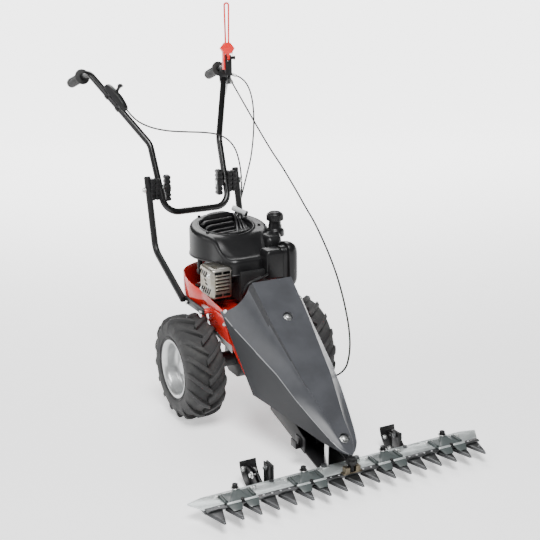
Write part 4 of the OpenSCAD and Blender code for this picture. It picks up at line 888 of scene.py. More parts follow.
def cover_shell(wall):
    """Cover as one skin with its wall: panel, flanks and side walls, to the tip."""
    zones = [("panel", t) for t in (0, 0.35, 0.7, 0.93, 1)]
    zones += [("flank", t) for t in (0.02, 0.08, 0.15, 0.24, 0.34, 0.45, 0.56, 0.67, 0.77, 0.86, 0.93, 0.985,
                                     1)]
    zones += [("wall", t) for t in (0.02, 0.12, 0.35, 0.7, 0.95, 1)]
    steps = [k / 44 for k in range(45)]
    columns = []
    for zone, t in zones:
        rear = cover_rear(zone, t)
        column = [cover_point(zone, t, rear + (COVER_TIP - rear) * s) for s in steps]
        tail = column[-1].copy()
        column.append(Vector((tail.x * 0.4, COVER_END, tail.z - (tail.z - 97) * 0.4)))
        columns.append(column)
    full = [[Vector((-p.x, p.y, p.z)) for p in column] for column in reversed(columns[1:])] + columns
    shape = Shape().loft([[at(*p) for p in column] for column in full], closed=False)
    made = as_object("cover_shell", shape)
    top = max(made.data.polygons, key=lambda face: face.normal.dot(PANEL_NORMAL) ** 2 * face.area)
    if top.normal.dot(PANEL_NORMAL) < 0:
        made.data.flip_normals()
    return soften(made, 0, wall=wall)


def mark_painted_light(made):
    """Marks the faces along the cover's ridges for a painted highlight, and its side walls for painted shade.
    """
    bm = bmesh.new()
    bm.from_mesh(made.data)
    painted_highlight_faces, sides = [], []
    for face in bm.faces:
        spot = face.calc_center_median() * 1000
        y = spot.y + MID_Y
        gap = math.hypot(abs(spot.x) - lookup(y, RIDGE_X), spot.z - lookup(y, RIDGE_Z))
        # Faces close to a ridge line are marked for the painted highlight.
        painted_highlight_faces.append(float(gap < PAINTED_HIGHLIGHT_REACH))
        # Faces turned sideways are marked for the painted shade.
        sides.append(float(abs(face.normal.x) > SHADED_WALL_TILT))
    bm.free()
    for mark, shares in zip(PAINTED_LIGHT_MARKS, (painted_highlight_faces, sides)):
        made.data.attributes.new(mark, "FLOAT", "FACE").data.foreach_set("value", shares)
    return made


class MOWER_OT_cover(bpy.types.Operator):
    """Slate cover over the knife drive, with its recessed bolts"""
    bl_idname = "mower.cover"
    bl_label = "Front cover"

    def execute(self, context):
        sizes = context.scene.mower_cover
        made = cover_shell(sizes.wall)
        r = sizes.recess
        cups, bolts = Shape(), Shape()
        for spot in COVER_BOLTS:
            place = axes(at(*spot), PANEL_NORMAL)
            cutter = as_object("cutter", Shape().disc(r + 0.0006, -0.005, 0.02, 40, place))
            made = carve(made, cutter)
            cups.lathe([(0, -0.013), (r + 0.002, -0.013), (r + 0.002, -0.0032), (r + 0.0014, 0.0005),
                        (r - 0.0004, 0.0006), (r - 0.0016, -0.0005), (r - 0.0022, -0.009),
                        (r - 0.0034, -0.0102), (0, -0.0102)], 40, place)
            bolts.bolt(place @ Matrix.Translation((0, 0, -0.0102)), 0.0072)
        for side in (-1, 1):
            for zone, t, y, size in (("flank", 0.93, -134, 0.0036), ("wall", 0.12, -141, 0.0036)):
                p, q, s = (cover_point(zone, a, b) for a, b in ((t, y), (t + 0.02, y), (t, y + 4)))
                normal = (q - p).cross(s - p)
                normal = normal if normal.x > 0 or normal.z > 0 and zone == "flank" else -normal
                spot, normal = Vector((p.x * side, p.y, p.z)), Vector((normal.x * side, normal.y, normal.z))
                bolts.bolt(axes(at(*spot), normal), size)
        # The cover's faces are marked for its painted ridge highlight and its painted wall shade.
        made = mark_painted_light(soften(made, 0.0012, 2, 13))
        dress(made, "slate_plastic", "chassis", "front_cover", smooth=14)
        piece("cover_recesses", cups, "slate_plastic", "chassis", edge=0, smooth=30)
        piece("cover_fasteners", bolts, "zinc", "chassis", "cover_bolts", edge=0.0005, segments=1)
        return {"FINISHED"}


class MOWER_OT_chassis(bpy.types.Operator):
    """Red pan, belt guards, carrier arm, gearbox and their fasteners"""
    bl_idname = "mower.chassis"
    bl_label = "Chassis"

    def execute(self, context):
        cad_copy("chassis_pan", "chassis_frame", "red_paint", "chassis", 0.0011)
        cad_copy("belt_guards", "side_guards", "grey_plastic", "chassis", 0.0006)
        skirts = Shape()
        outline = rounded([(-2, 356), (-24, 296), (-60, 291), (-150, 281), (-168, 280), (-150, 320),
                           (-118, 356)], 4)
        for side in (-1, 1):
            skirts.prism(mm(outline), -0.001, 0.001, upright(side * 130.5))
        piece("pan_skirts", skirts, "red_paint", "chassis", edge=0.0006)
        cad_copy("carrier_beam", "carrier_arm", "black_paint", "chassis", 0.001)
        cad_copy("gearbox_case", "gearbox_housing", "cast_black", "chassis", 0.0022)
        cad_copy("nose_bracket", "nose_stay", "zinc", "chassis", 0.0005)
        cad_copy("frame_fasteners", "frame_bolts", "zinc", "chassis", 0.0005, 1)
        cad_copy("cable_ends", "cable_glands", "black_plastic", "chassis", 0.0006)
        cad_copy("rocker_lever", "rocker_arm", "black_paint", "rocker", 0.001)
        return {"FINISHED"}


# Engine

HOOD = [(-116, 10), (-90, -140), (-76, -178), (40, -178), (62, -140), (112, 10)]
STARTER = (-8, 4)
SHROUD_TOP, SHROUD_FOOT, SHROUD_INSIDE = 573, 483, 552
SHROUD_SCREWS = ((-92, -38), (92, -30), (-60, 98), (70, 92))
DOME_FOOT, DOME_LOW, DOME_RISE = 556, 562, 44
DOME_R, DOME_FRONT = 82, 44
CREST, CREST_BACK = Vector((0.982, 0.187)), Vector((-0.187, 0.982))
SLATS, SLAT_R = (28, 8, -12, -32, -52, -68), 80
BLADES, BLADE_TURN, BLADE_STEP, BLADE_R = 5, -88, 14, 78
PULL_REST, PULL_LAY = (66, 55, 600), (0.77, -0.47, -0.42)
TANK_MIDDLE, TANK_NECK = Vector((108, -86)), (134, -61, 0)


def shroud_outline(drum, steps=120):
    """Radius of the shroud at even angles: a drum with a hood to the front, its corners eased."""
    raw = []
    for k in range(steps):
        a = 2 * math.pi * k / steps
        d = Vector((math.cos(a), math.sin(a)))
        reach = drum
        for (ax, ay), (bx, by) in zip(HOOD, HOOD[1:]):
            cross = d.x * (by - ay) - d.y * (bx - ax)
            if abs(cross) > 1e-9:
                far = (ax * (by - ay) - ay * (bx - ax)) / cross
                share = (ax * d.y - ay * d.x) / cross
                if far > 0 and 0 <= share <= 1:
                    reach = max(reach, far)
        raw.append(reach)
    spread = [(-3, 1), (-2, 2), (-1, 3), (0, 4), (1, 3), (2, 2), (3, 1)]
    return [sum(raw[(k + j) % steps] * w for j, w in spread) / 16 for k in range(steps)]


def shroud_top(x, y):
    """Height of the shroud's top: flat round the opening, falling over the hood and its left shoulder."""
    down = max(-y - 72, 0)
    fall = 0.62 * (down * down / 56 if down < 28 else down - 14)
    edge = 92 - 0.24 * max(-y - 60, 0)
    shoulder = ease(edge - 16, edge + 22, -x) * ease(30, 140, -y) * 17
    far = ease(18, 62, x) * ease(60, 150, -y) * 9
    return SHROUD_TOP + 0.14 * max(y, -120) - fall - shoulder - far


def shroud_foot(y):
    """Height of the shroud's lower edge, which dips at the front of the hood."""
    return SHROUD_FOOT - 28 * ease(95, 165, -y)


def shroud(sizes):
    """Skin of the shroud: from the opening over the top to the foot and back inside."""
    opening, fillet = sizes.opening * 1000, sizes.fillet * 1000
    outline = shroud_outline(sizes.drum * 1000)
    rings = []
    spokes = [(c, s, r) for (c, s), r in zip(circle(1, len(outline)), outline)]

    def ringed(place):
        rings.append([crank(*place(c, s, r)) for c, s, r in spokes])

    for off, lift in ((-1, -9), (-0.4, -1), (0.8, 1.8), (2.6, 2.6), (4.6, 2.2), (6.6, 0.6), (9, 0)):
        def around(c, s, r):
            x, y = STARTER[0] + (opening + off) * c, STARTER[1] + (opening + off) * s
            return x, y, shroud_top(x, y) + lift
        ringed(around)
    for k in range(1, 10):
        def across(c, s, r, t=k / 10):
            reach = opening + 9 + (r - fillet - opening - 9) * t
            x, y = STARTER[0] * (1 - t) + reach * c, STARTER[1] * (1 - t) + reach * s
            return x, y, shroud_top(x, y)
        ringed(across)
    for k in range(0, 7):
        def over(c, s, r, a=math.radians(90 * k / 6)):
            inner = r - fillet
            reach = inner + fillet * math.sin(a)
            return reach * c, reach * s, shroud_top(inner * c, inner * s) - fillet * (1 - math.cos(a))
        ringed(over)
    for lift, out in ((14, 0.4), (8, 0.8), (6.5, 1), (5.5, 2.4), (1, 2.6), (0, 1.6), (0, -3)):
        ringed(lambda c, s, r: ((r + out) * c, (r + out) * s, shroud_foot(s * r) + lift))
    ringed(lambda c, s, r: ((r - 4) * c, (r - 4) * s,
                            shroud_top((r - fillet) * c, (r - fillet) * s) - fillet - 1))
    ringed(lambda c, s, r: (STARTER[0] + (opening + 2) * c, STARTER[1] + (opening + 2) * s, SHROUD_INSIDE))
    return Shape().loft(rings + [rings[0]], caps=False)


def starter(x, y, z):
    """Point of the recoil starter, from its own middle."""
    return crank(STARTER[0] + x, STARTER[1] + y, z)


def starter_height(x, y):
    """Height of the starter cover: a dome at the back that falls to the rim at the front."""
    r = math.hypot(x, y)
    rise = DOME_LOW + DOME_RISE * ease(-36, 66, y - 0.19 * x)
    return rise - 12 * ease(60, 84, r)


def slat(path, width, deep, ceiling):
    """Bar with a rounded back that follows a path over the starter cover, up to a ceiling."""
    rings = []
    for k, p in enumerate(path):
        a, b = path[max(k - 1, 0)], path[min(k + 1, len(path) - 1)]
        along = Vector((b[0] - a[0], b[1] - a[1])).normalized()
        side = Vector((-along.y, along.x)) * width / 2
        z = min(starter_height(*p), ceiling)
        section = [(-1, -deep), (-1, -1.4), (-0.8, -0.2), (0, 0.3), (0.8, -0.2), (1, -1.4), (1, -deep)]
        rings.append([starter(p[0] + side.x * s, p[1] + side.y * s, z + h) for s, h in section])
    return rings


def dome_rings():
    """Sections of the starter cover's dome, side by side along its crest."""
    rings = []
    for k in range(25):
        s = -0.985 + 1.97 * k / 24
        chord = math.sqrt(DOME_R ** 2 - DOME_FRONT ** 2) * s
        reach = math.sqrt(DOME_R ** 2 - chord * chord) - DOME_FRONT
        run = [CREST * chord + CREST_BACK * (DOME_FRONT + reach * t)
               for t in (0, 0.04, 0.2, 0.4, 0.6, 0.8, 0.92, 1)]
        top = [starter(p.x, p.y, starter_height(p.x, p.y) - (2.5 if i == 0 else 0))
               for i, p in enumerate(run)]
        low = [starter(p.x, p.y, DOME_FOOT) for p in (run[-1], run[0])]
        rings.append(top + low)
    return rings


def starter_dome():
    """Starter cover: its dome, the slats before it, the curved blades and the rope guide."""
    cover = Shape().loft(dome_rings())
    for c in SLATS:
        half = math.sqrt(SLAT_R ** 2 - c * c)
        end = 46 - 0.42 * (40 - c)
        path = [CREST * ((end + half) * k / 8 - half) + CREST_BACK * c for k in range(9)]
        cover.loft(slat(path, 12.5, 9, 590))
    for k in range(BLADES):
        turn = math.radians(BLADE_TURN + BLADE_STEP * k)
        first = Vector((54 + 5 * k, 60 - 8 * k))
        last = Vector((math.cos(turn), math.sin(turn))) * BLADE_R
        bow = Vector((10, 6))
        path = [first.lerp(last, j / 10) + bow * math.sin(math.pi * j / 10) for j in range(11)]
        cover.loft(slat([p * 0.98 for p in path], 6.5, 12, 604))
    guide = axes(at(58, 142, 575), (0.2, 0.55, 0.8))
    cover.lathe([(0, 0), (0.011, 0), (0.0095, 0.012), (0.0075, 0.02), (0, 0.02)], 24, guide)
    return cover


def grip_rings(stations):
    """Sections of the pull grip: each station has its height, width and depth."""
    return [mm((h * x, w * y, z) for x, y in stadium(2.6, 1.9, 6)) for z, w, h in stations]


class MOWER_OT_shroud(bpy.types.Operator):
    """Engine shroud with its recoil starter"""
    bl_idname = "mower.shroud"
    bl_label = "Engine shroud"

    def execute(self, context):
        sizes = context.scene.mower_engine
        dress(as_object("engine_shroud", shroud(sizes)), "black_plastic", "chassis", "blower_housing",
              smooth=50)
        screws = Shape()
        for x, y in SHROUD_SCREWS:
            screws.bolt(axes(crank(x, y, shroud_top(x, y) - 1.2)), 0.0042)
        piece("shroud_screws", screws, "black_plastic", "chassis", edge=0.0004, segments=1)
        floor = Shape().lathe([(0, 0.552), (0.0835, 0.552), (0.0838, 0.567), (0.0815, 0.5685),
                               (0.0785, 0.566), (0.076, 0.560), (0, 0.558)], 64,
                              Matrix.Translation(starter(0, 0, 0)))
        piece("starter_bowl", floor, "black_plastic", "chassis", edge=0)
        piece("starter_dome", starter_dome(), "black_plastic", "chassis", "starter_cover", edge=0.0012,
              angle=40)
        place = axes(crank(*PULL_REST), PULL_LAY, (0, 0, 1))
        grip = Shape().loft(grip_rings(((-28, 4.5, 3), (-27, 7, 5.5), (-23, 8.6, 7.2), (-10, 8.2, 6.8),
                                        (0, 7.6, 6.4), (10, 8.2, 6.8), (20, 8.8, 7.4))), place=place)
        piece("pull_grip", grip, "grey_plastic", "recoil_grip", "starter_grip", edge=0.0006)
        end = Shape().loft(grip_rings(((19.6, 9.2, 7.8), (24, 9.2, 7.8), (27, 8, 6.8), (28, 5, 4))),
                           place=place)
        piece("pull_grip_end", end, "black_plastic", "recoil_grip", edge=0.0006)
        return {"FINISHED"}


class MOWER_OT_fuel(bpy.types.Operator):
    """Fuel tank with its neck and ribbed cap"""
    bl_idname = "mower.fuel"
    bl_label = "Fuel tank"

    def execute(self, context):
        sizes = context.scene.mower_engine
        rings = []
        for z, grow in ((476, -3), (480, 0), (536, 0), (548, -4), (555, -14)):
            outline = rounded([(66, -146), (114, -146), (152, -58), (150, -34), (118, -20), (66, -36)],
                              18 + grow, 6)
            rings.append([crank(*(TANK_MIDDLE + (Vector(p) - TANK_MIDDLE) * (1 + grow / 60)), z)
                          for p in outline])
        body = Shape().loft(rings)
        neck = Matrix.Translation(crank(*TANK_NECK))
        body.lathe(mm((
            (0, 536), (30, 536), (30, 552), (27.5, 557), (23.5, 559), (22, 562), (22, 570), (20, 573),
            (19.6, 585), (0, 585))), 40, neck)
        piece("tank_body", body, "black_plastic", "chassis", "fuel_tank", edge=0.003, segments=3, angle=40,
              smooth=50)
        cap = Shape().lathe(mm((
            (0, 586), (24, 586), (26, 587.5), (26.4, 602), (25.4, 607), (22, 610.4), (18.5, 611.6),
            (17.4, 613.2), (15.6, 613.4), (14.2, 611.6), (0, 611.2))), 48, neck)
        bump = ((25.2, -1.3), (27.4, -0.9), (27.4, 0.9), (25.2, 1.3))
        rib = Shape().loft([mm((r, y, z) for r, y in bump) for z in (587, 604)])
        ribs = ring("ribs", soften(as_object("rib", rib), 0.0004, 1), sizes.cap_ribs, "black_plastic",
                    place=neck)
        made = joined("tank_cap", [as_object("cap", cap), ribs])
        dress(made, "black_plastic", "filler_cap", "fuel_cap")
        return {"FINISHED"}


class MOWER_OT_intake(bpy.types.Operator):
    """Air filter housing, its cover and the carburettor"""
    bl_idname = "mower.intake"
    bl_label = "Air filter"

    def execute(self, context):
        outline = rounded([(31, -207), (92, -207), (92, -148), (31, -148)], 9, 4)
        stations = ((440, 3), (443, 0), (516, 0), (524, 2), (529, 6), (531, 12))
        housing = Shape().loft([[crank(61 + (x - 61) * (1 - inset / 28), -178 + (y + 178) * (1 - inset / 28),
                                       z)
                                 for x, y in outline] for z, inset in stations])
        piece("filter_housing", housing, "black_plastic", "chassis", "air_filter_base", edge=0.001, smooth=50)
        face = rounded([(-73, -36), (73, -36), (73, 36), (-73, 36)], 34, 8)
        stations = ((84, -12), (88, -11), (101, -11), (102, -1), (104, 0), (118, -1), (127, -4), (134, -9.5),
                    (139, -17), (141.5, -25))
        cover = Shape().loft([[crank(x, -181 + w * (1 + grow / 36), 474 + h * (1 + grow / 73))
                               for h, w in face]
                              for x, grow in stations])
        piece("filter_cover", cover, "black_plastic", "chassis", "air_filter_cover", edge=0.0008, angle=40,
              smooth=48)
        cad_copy("carburettor_body", "carburettor", "cast_alloy", "chassis", 0.0016)
        return {"FINISHED"}


GUARD = ((-144, -180, 393.4), (-73, -86, 488))


def cut_row(made, outline, axis, across, start, step, count):
    """Guard with a row of holes of one outline through a wall."""
    hole = Shape().prism(mm(outline), -0.012, 0.012, axes((0, 0, 0), axis, across))
    return carve(made, row("holes", as_object("hole", hole), count, crank(*start), Vector(step) / 1000,
                           "heat_steel"))


class MOWER_OT_exhaust(bpy.types.Operator):
    """Muffler behind its louvred guard"""
    bl_idname = "mower.exhaust"
    bl_label = "Muffler guard"

    def execute(self, context):
        rows = context.scene.mower_engine.guard_slots
        (x0, y0, z0), (x1, y1, z1) = GUARD
        wall = 1.8
        inner = soften(as_object("inner", Shape().box(crank(x0 + wall, y0 + wall, z0 + wall),
                                                      crank(x1 + 9, y1 + 9, z1 - wall))), 0.0095, 4, 40)
        outer = soften(as_object("muffler_guard", Shape().box(crank(x0, y0, z0), crank(x1, y1, z1))), 0.011,
                       4, 40)
        made = carve(outer, inner)
        front, left, top, right = (0, -1, 0), (-1, 0, 0), (0, 0, 1), (1, 0, 0)
        middle, pitch = (x0 + x1) / 2, 11
        lowest = z0 + 27
        made = cut_row(made, stadium(48, 4.6), front, right, (middle, y0, lowest), (0, 0, pitch), rows)
        mouth = rounded([(-12, -4.4), (12, -4.4), (12, 4.4), (-12, 4.4)], 2)
        for height in (z0 + 12, z1 - 13):
            made = cut_row(made, mouth, front, right, (middle - 14, y0, height), (28, 0, 0), 2)
        lean = (0, 0.62, -0.78)
        made = cut_row(made, stadium(30, 8), left, lean, (x0, y0 + 20, z0 + 21), (0, 13.5, 0), 5)
        made = cut_row(made, stadium(24, 8), left, lean, (x0, y0 + 42, z1 - 21), (0, 13.5, 0), 4)
        made = cut_row(made, stadium(18, 6), left, (0, 1, 0.2), (x0, y0 + 42, z0 + 42), (0, 7, 11), 3)
        made = cut_row(made, stadium(18, 8), top, right, (x0 + 24, y0 + 16, z1), (0, 13.5, 0), 5)
        dress(made, "heat_steel", "chassis", "muffler_guard", smooth=40)
        lip = [(-2.4 + 0.8 * k, 2.4 * math.sin(math.pi * k / 6)) for k in range(7)]
        rings = [[(x / 1000, -h * grow / 1000, z * grow / 1000 + 0.0036) for z, h in lip]
                 for x, grow in ((-24, 0.1), (-22, 0.8), (-17, 1), (17, 1), (22, 0.8), (24, 0.1))]
        louvre = as_object("louvre", Shape().loft(rings))
        made = row("guard_louvres", louvre, rows, crank(middle, y0 + 0.2, lowest),
                   Vector((0, 0, pitch / 1000)), "heat_steel")
        dress(made, "heat_steel", "chassis", smooth=60)
        bolts = Shape()
        for y, z in ((y0 + 22, z1 - 22), (y1 - 16, z0 + 18)):
            bolts.bolt(axes(crank(x0 + 0.2, y, z), left), 0.0042)
        piece("guard_bolts", bolts, "zinc", "chassis", edge=0.0004, segments=1)
        cad_copy("muffler_box", "muffler", "cast_black", "chassis", 0.004, 3)
        return {"FINISHED"}


LEAD_ROUTE = [(-44, -186, 404), (-46, -202, 410), (-45, -210, 426), (-34, -212, 440), (-12, -211, 446),
              (14, -209, 452), (34, -203, 458)]


class MOWER_OT_block(bpy.types.Operator):
    """Engine block, spark plug boot and lead"""
    bl_idname = "mower.block"
    bl_label = "Engine block"

    def execute(self, context):
        cad_copy("cylinder_block", "engine_block", "cast_black", "chassis", 0.0012)
        path = smooth_path([crank(*p) for p in LEAD_ROUTE], 5)
        boot = bar("boot", path[:25], 0.0066, "black_paint", 20)
        lead = bar("lead", path[20:], 0.0036, "black_paint", 12)
        cuff = as_object("cuff", Shape().lathe([(0.004, 0), (0.0098, 0), (0.0104, 0.002), (0.0098, 0.005),
                                                (0.004, 0.005)],
                                               24, axes(crank(-45, -194, 407), (0, -0.95, 0.3))))
        made = joined("plug_boot", [boot, lead, cuff])
        dress(made, "black_paint", "chassis", "spark_plug", smooth=50)
        return {"FINISHED"}


# Handle and controls

GRIP_PT, BEND_PT, ELBOW_PT, CORNER_PT = ((268, 838, 965), (256, 660, 1017), (127, 443, 792), (117, 350, 574))
HANDLE_BENDS = [0, 0.034, 0.06, 0.052, 0.052, 0.06, 0.034, 0]
KINK_BEND = 0.06
TUBE_SIDES = 28
BAND_SHARE = 0.62
THROTTLE_BANDS, BAND_LENGTH = (102, 160), 14
BAND_R, BAND_HOLE, DISC_R = 13.6, 11.1, 13.5
THROTTLE_PIVOT = (-0.027, 0, 0.127)
RIBS_FROM, RIBS_LENGTH = 0.011, 0.1
KINK_PT, STUD_PT, FOOT_PT = ((162, 340, 455), (162, 383.275, 652), (162, 112, 346))


def mirrored(p):
    """The same place on the other side of the mower."""
    return (-p[0], p[1], p[2])


def tube_frame(a, b):
    """Frame on a tube from a to b: Z along it, Y level."""
    a, b = at(*a), at(*b)
    z = (b - a).normalized()
    level = Vector((-z.y, z.x, 0)).normalized()
    return axes(a, z, level.cross(z))


class MOWER_OT_tubes(bpy.types.Operator):
    """Upper handle and lower tubes"""
    bl_idname = "mower.tubes"
    bl_label = "Handle tubes"

    def execute(self, context):
        r = context.scene.mower_handle.tube
        right = [Vector(p) for p in (GRIP_PT, BEND_PT, ELBOW_PT, CORNER_PT)]
        right[0] += (right[1] - right[0]).normalized() * 4
        points = [at(*p) for p in right] + [at(*mirrored(p)) for p in reversed(right)]
        path = bent(points, HANDLE_BENDS, 14)
        dress(bar("handle_tube", path, r, "gloss_black", TUBE_SIDES), "gloss_black", "handle", "upper_handle",
              smooth=50)
        parts = []
        for side in (-1, 1):
            top = Vector(STUD_PT) + (Vector(STUD_PT) - Vector(KINK_PT)).normalized() * 40
            places = [at(p[0] * side, p[1], p[2]) for p in (top, KINK_PT, FOOT_PT)]
            parts.append(bar("tube", bent(places, [0, KINK_BEND, 0], 14), r, "black_paint", TUBE_SIDES))
            up = (places[0] - places[1]).normalized()
            plug = Shape().lathe([(0, -0.004), (0.0105, -0.004), (0.0112, 0), (0.0105, 0.003),
                                  (0.008, 0.0046), (0, 0.005)],
                                 28, axes(places[0], up))
            foot = Shape().prism(mm(rounded(
                [(-32, 336), (-24, 334), (120, 334), (124, 340), (124, 356), (118, 358), (-26, 356),
                 (-32, 350)], 5)),
                -0.0025, 0.0025, upright(side * 153.5))
            parts += [as_object("plug", plug), soften(as_object("foot", foot), 0.001)]
        dress(joined("brace_tubes", parts), "black_paint", "chassis", "lower_tubes", smooth=50)
        return {"FINISHED"}


class MOWER_OT_grips(bpy.types.Operator):
    """Ribbed rubber grips"""
    bl_idname = "mower.grips"
    bl_label = "Grips"

    def execute(self, context):
        sizes = context.scene.mower_handle
        r = sizes.grip
        shape = Shape()
        for side in (-1, 1):
            tip, bend = (at(p[0] * side, p[1], p[2]) for p in (GRIP_PT, BEND_PT))
            place = axes(tip, bend - tip)
            profile = [(0, 0), (r * 0.62, 0.0003), (r * 0.86, 0.002), (r * 0.95, 0.005), (r, 0.009)]
            step = RIBS_LENGTH / sizes.grip_ribs
            for k in range(sizes.grip_ribs):
                z = RIBS_FROM + step * k
                profile += [(r, z), (r, z + step * 0.55), (r - 0.0009, z + step * 0.68),
                            (r - 0.0009, z + step * 0.87)]
            profile += [(r, 0.1115), (r + 0.001, 0.1135), (r + 0.0085, 0.117), (r + 0.0095, 0.1195),
                        (r + 0.0085, 0.1235), (r, 0.125), (0.0112, 0.125), (0.0112, 0.02), (0, 0.02)]
            shape.lathe(profile, 36, place)
        piece("rubber_grips", shape, "black_rubber", "handle", "grips", edge=0, smooth=45)
        return {"FINISHED"}


def ribbed_block(name, low, high, count, proud):
    """Rounded block with raised bands along Z."""
    low, high = Vector(low), Vector(high)
    core = soften(as_object("core", Shape().box(at(*low), at(*high))), 0.003, 3)
    pitch = (high.z - low.z) / count
    item = Shape().box(Vector((low.x - 0.4 - proud * 0.3, low.y - proud, 0)) / 1000,
                       Vector((high.x + 0.4 + proud * 0.3, high.y + proud, pitch * BAND_SHARE)) / 1000)
    bands = row("bands", soften(as_object("band", item), 0.0022, 3), count,
                at(0, 0, low.z + pitch * (1 - BAND_SHARE) / 2), Vector((0, 0, pitch / 1000)), "black_plastic")
    return joined(name, [core, bands])


class MOWER_OT_clamps(bpy.types.Operator):
    """Ribbed clamp blocks with their bar knobs, studs and washers"""
    bl_idname = "mower.clamps"
    bl_label = "Handle clamps"

    def execute(self, context):
        count = context.scene.mower_handle.clamp_ribs
        y, z = STUD_PT[1], STUD_PT[2]
        for body, node, inner, outer in (("chassis", "clamp_blocks", 142.3, 157),
                                         ("handle", "clamp_rings", 124.5, 139.8)):
            sides = []
            for side in (-1, 1):
                low, high = sorted((side * inner, side * outer))
                sides.append(ribbed_block("block", (low, y - 13, z - 36), (high, y + 13, z + 36), count, 1.6))
            dress(joined(node + "_ribbed", sides), "black_plastic", body, node)
        for side, word in SIDES:
            low, high = sorted((side * 87.5, side * 103.5))
            knob = ribbed_block("knob", (low, y - 12, z - 44), (high, y + 12, z + 44), count + 1, 2.6)
            hub = Shape().lathe([(0, -0.0105), (0.0135, -0.0105), (0.015, -0.009), (0.015, 0.009),
                                 (0.0135, 0.0105), (0, 0.0105)], 32, axes(at(side * 96.5, y, z), (1, 0, 0)))
            dress(joined("bar_knob_" + word, [knob, soften(as_object("hub", hub), 0.001)]), "black_plastic",
                  word + "_knob", "knob_" + word)
        washers = Shape()
        for side in (-1, 1):
            for x, r in ((84.6, 8), (114, 10), (174.2, 10)):
                washers.disc(r / 1000, -0.0012, 0.0012, 28, axes(at(side * x, y, z), (1, 0, 0)))
            washers.bolt(axes(at(side * 175, y, z), (side, 0, 0)), 0.006)
        piece("clamp_washers", washers, "zinc", "chassis", edge=0.0003, segments=1)
        return {"FINISHED"}


def throttle_box(place):
    """Box under the tube with its two bands and the cable's ferrule."""
    rings = []
    for z, low, wide in ((80, -24, 7), (83, -30, 9.5), (96, -34, 10.5), (120, -36.5, 11), (150, -36, 11),
                         (172, -32, 10.5), (188, -27, 9.5), (193, -23, 8)):
        outline = rounded([(low, -wide), (-10.8, -wide), (-10.8, wide), (low, wide)], 5, 4)
        rings.append(mm((x, y, z) for x, y in outline))
    shape = Shape().loft(rings, place=place)
    band, hole = circle(BAND_R, 30), circle(BAND_HOLE, 30)
    for z in THROTTLE_BANDS:
        top = z + BAND_LENGTH
        loops = ((band, z), (band, top), (hole, top), (hole, z), (band, z))
        shape.loft([mm((x, y, h) for x, y in loop) for loop, h in loops], caps=False, place=place)
    ferrule = [Vector(p) for p in THROTTLE_ROUTE[:2]]
    shape.lathe([(0.0028, 0.0004), (0.0046, 0.0004), (0.005, 0.004), (0.005, 0.014), (0.004, 0.022),
                 (0, 0.022)], 20, axes(at(*ferrule[0]), ferrule[0] - ferrule[1]))
    return shape


def throttle_tab(pivot):
    """Lever of the throttle: a disc in the box and the tab that a thumb moves."""
    disc = mm(circle(DISC_R, 36))
    lever = Shape().prism(disc, -0.004, 0.004, pivot @ axes((0, 0, 0), (0, 1, 0), (1, 0, 0)))
    rings = []
    for x, wide, z0, z1 in ((-8, 3, -6, 5), (-24, 3, -7, 3), (-31, 6, -8, 3), (-36, 9, -8.5, 4.5),
                            (-40.5, 8.4, -7.5, 4)):
        outline = rounded([(z0, -wide), (z1, -wide), (z1, wide), (z0, wide)], 2.5, 3)
        rings.append(mm((x, y, z) for z, y in outline))
    return lever.loft(rings, place=pivot)


class MOWER_OT_throttle(bpy.types.Operator):
    """Throttle box with its lever"""
    bl_idname = "mower.throttle"
    bl_label = "Throttle"

    def execute(self, context):
        place = tube_frame(mirrored(BEND_PT), mirrored(ELBOW_PT))
        piece("throttle_box", throttle_box(place), "black_plastic", "handle", "throttle_housing", edge=0.0012,
              angle=40)
        pivot = place @ Matrix.Translation(THROTTLE_PIVOT)
        piece("throttle_tab", throttle_tab(pivot), "black_plastic", "throttle", "throttle_lever", edge=0.0008,
              angle=40)
        return {"FINISHED"}


class MOWER_OT_levers(bpy.types.Operator):
    """Red dead man's lever, clutch lever and their bracket"""
    bl_idname = "mower.levers"
    bl_label = "Levers"

    def execute(self, context):
        cad_copy("lever_mount", "lever_bracket", "black_plastic", "handle", 0.0012, 2, 40)
        cad_copy("dead_man_lever", "deadman_lever", "red_plastic", "deadman", 0.0018, 3, 40)
        cad_copy("clutch_blade", "clutch_lever", "steel", "clutch", 0.0016, 3, 40)
        sleeves = Shape()
        for route, long in ((KNIFE_ROUTE, 0.026), (TRACTION_ROUTE, 0.022)):
            a, b = (Vector(p) for p in route[:2])
            sleeves.lathe([(0.0029, -0.004), (0.0052, -0.004), (0.0056, -0.002), (0.0056, long),
                           (0.0048, long + 0.003), (0.0029, long + 0.003)], 20, axes(at(*a), a - b))
        piece("cable_sleeves", sleeves, "zinc", "handle", edge=0.0004, segments=1)
        return {"FINISHED"}


# Cutter bar

HOLDERS = (-331.5, -127.5, 127.5, 331.5)
COMB_TOOTH = (-645, -713, 48, 6, 31, 37)
SECTION = (-641.4, -708, 49, 5, 37.4, 40.4)
RIVET_Y = -649


def blade(root, tip, wide, point, low, high, edge):
    """A tooth or section at the middle of the bar: flat, pointed to the front, with ground sides."""
    def outline(shrink, z):
        run = (wide - point) / 2 / abs(tip - root)
        return [at(x, y, z) for x, y in (
            (-wide / 2 + shrink, root), (wide / 2 - shrink, root),
            (point / 2 + run * shrink * 0.3 - shrink * 0.35, tip + shrink),
            (-point / 2 - run * shrink * 0.3 + shrink * 0.35, tip + shrink))]
    rings = [outline(0.4, low), outline(0, low + 0.6), outline(0, low + (high - low) * 0.45),
             outline(edge, high)]
    return as_object("blade", Shape().loft(rings))


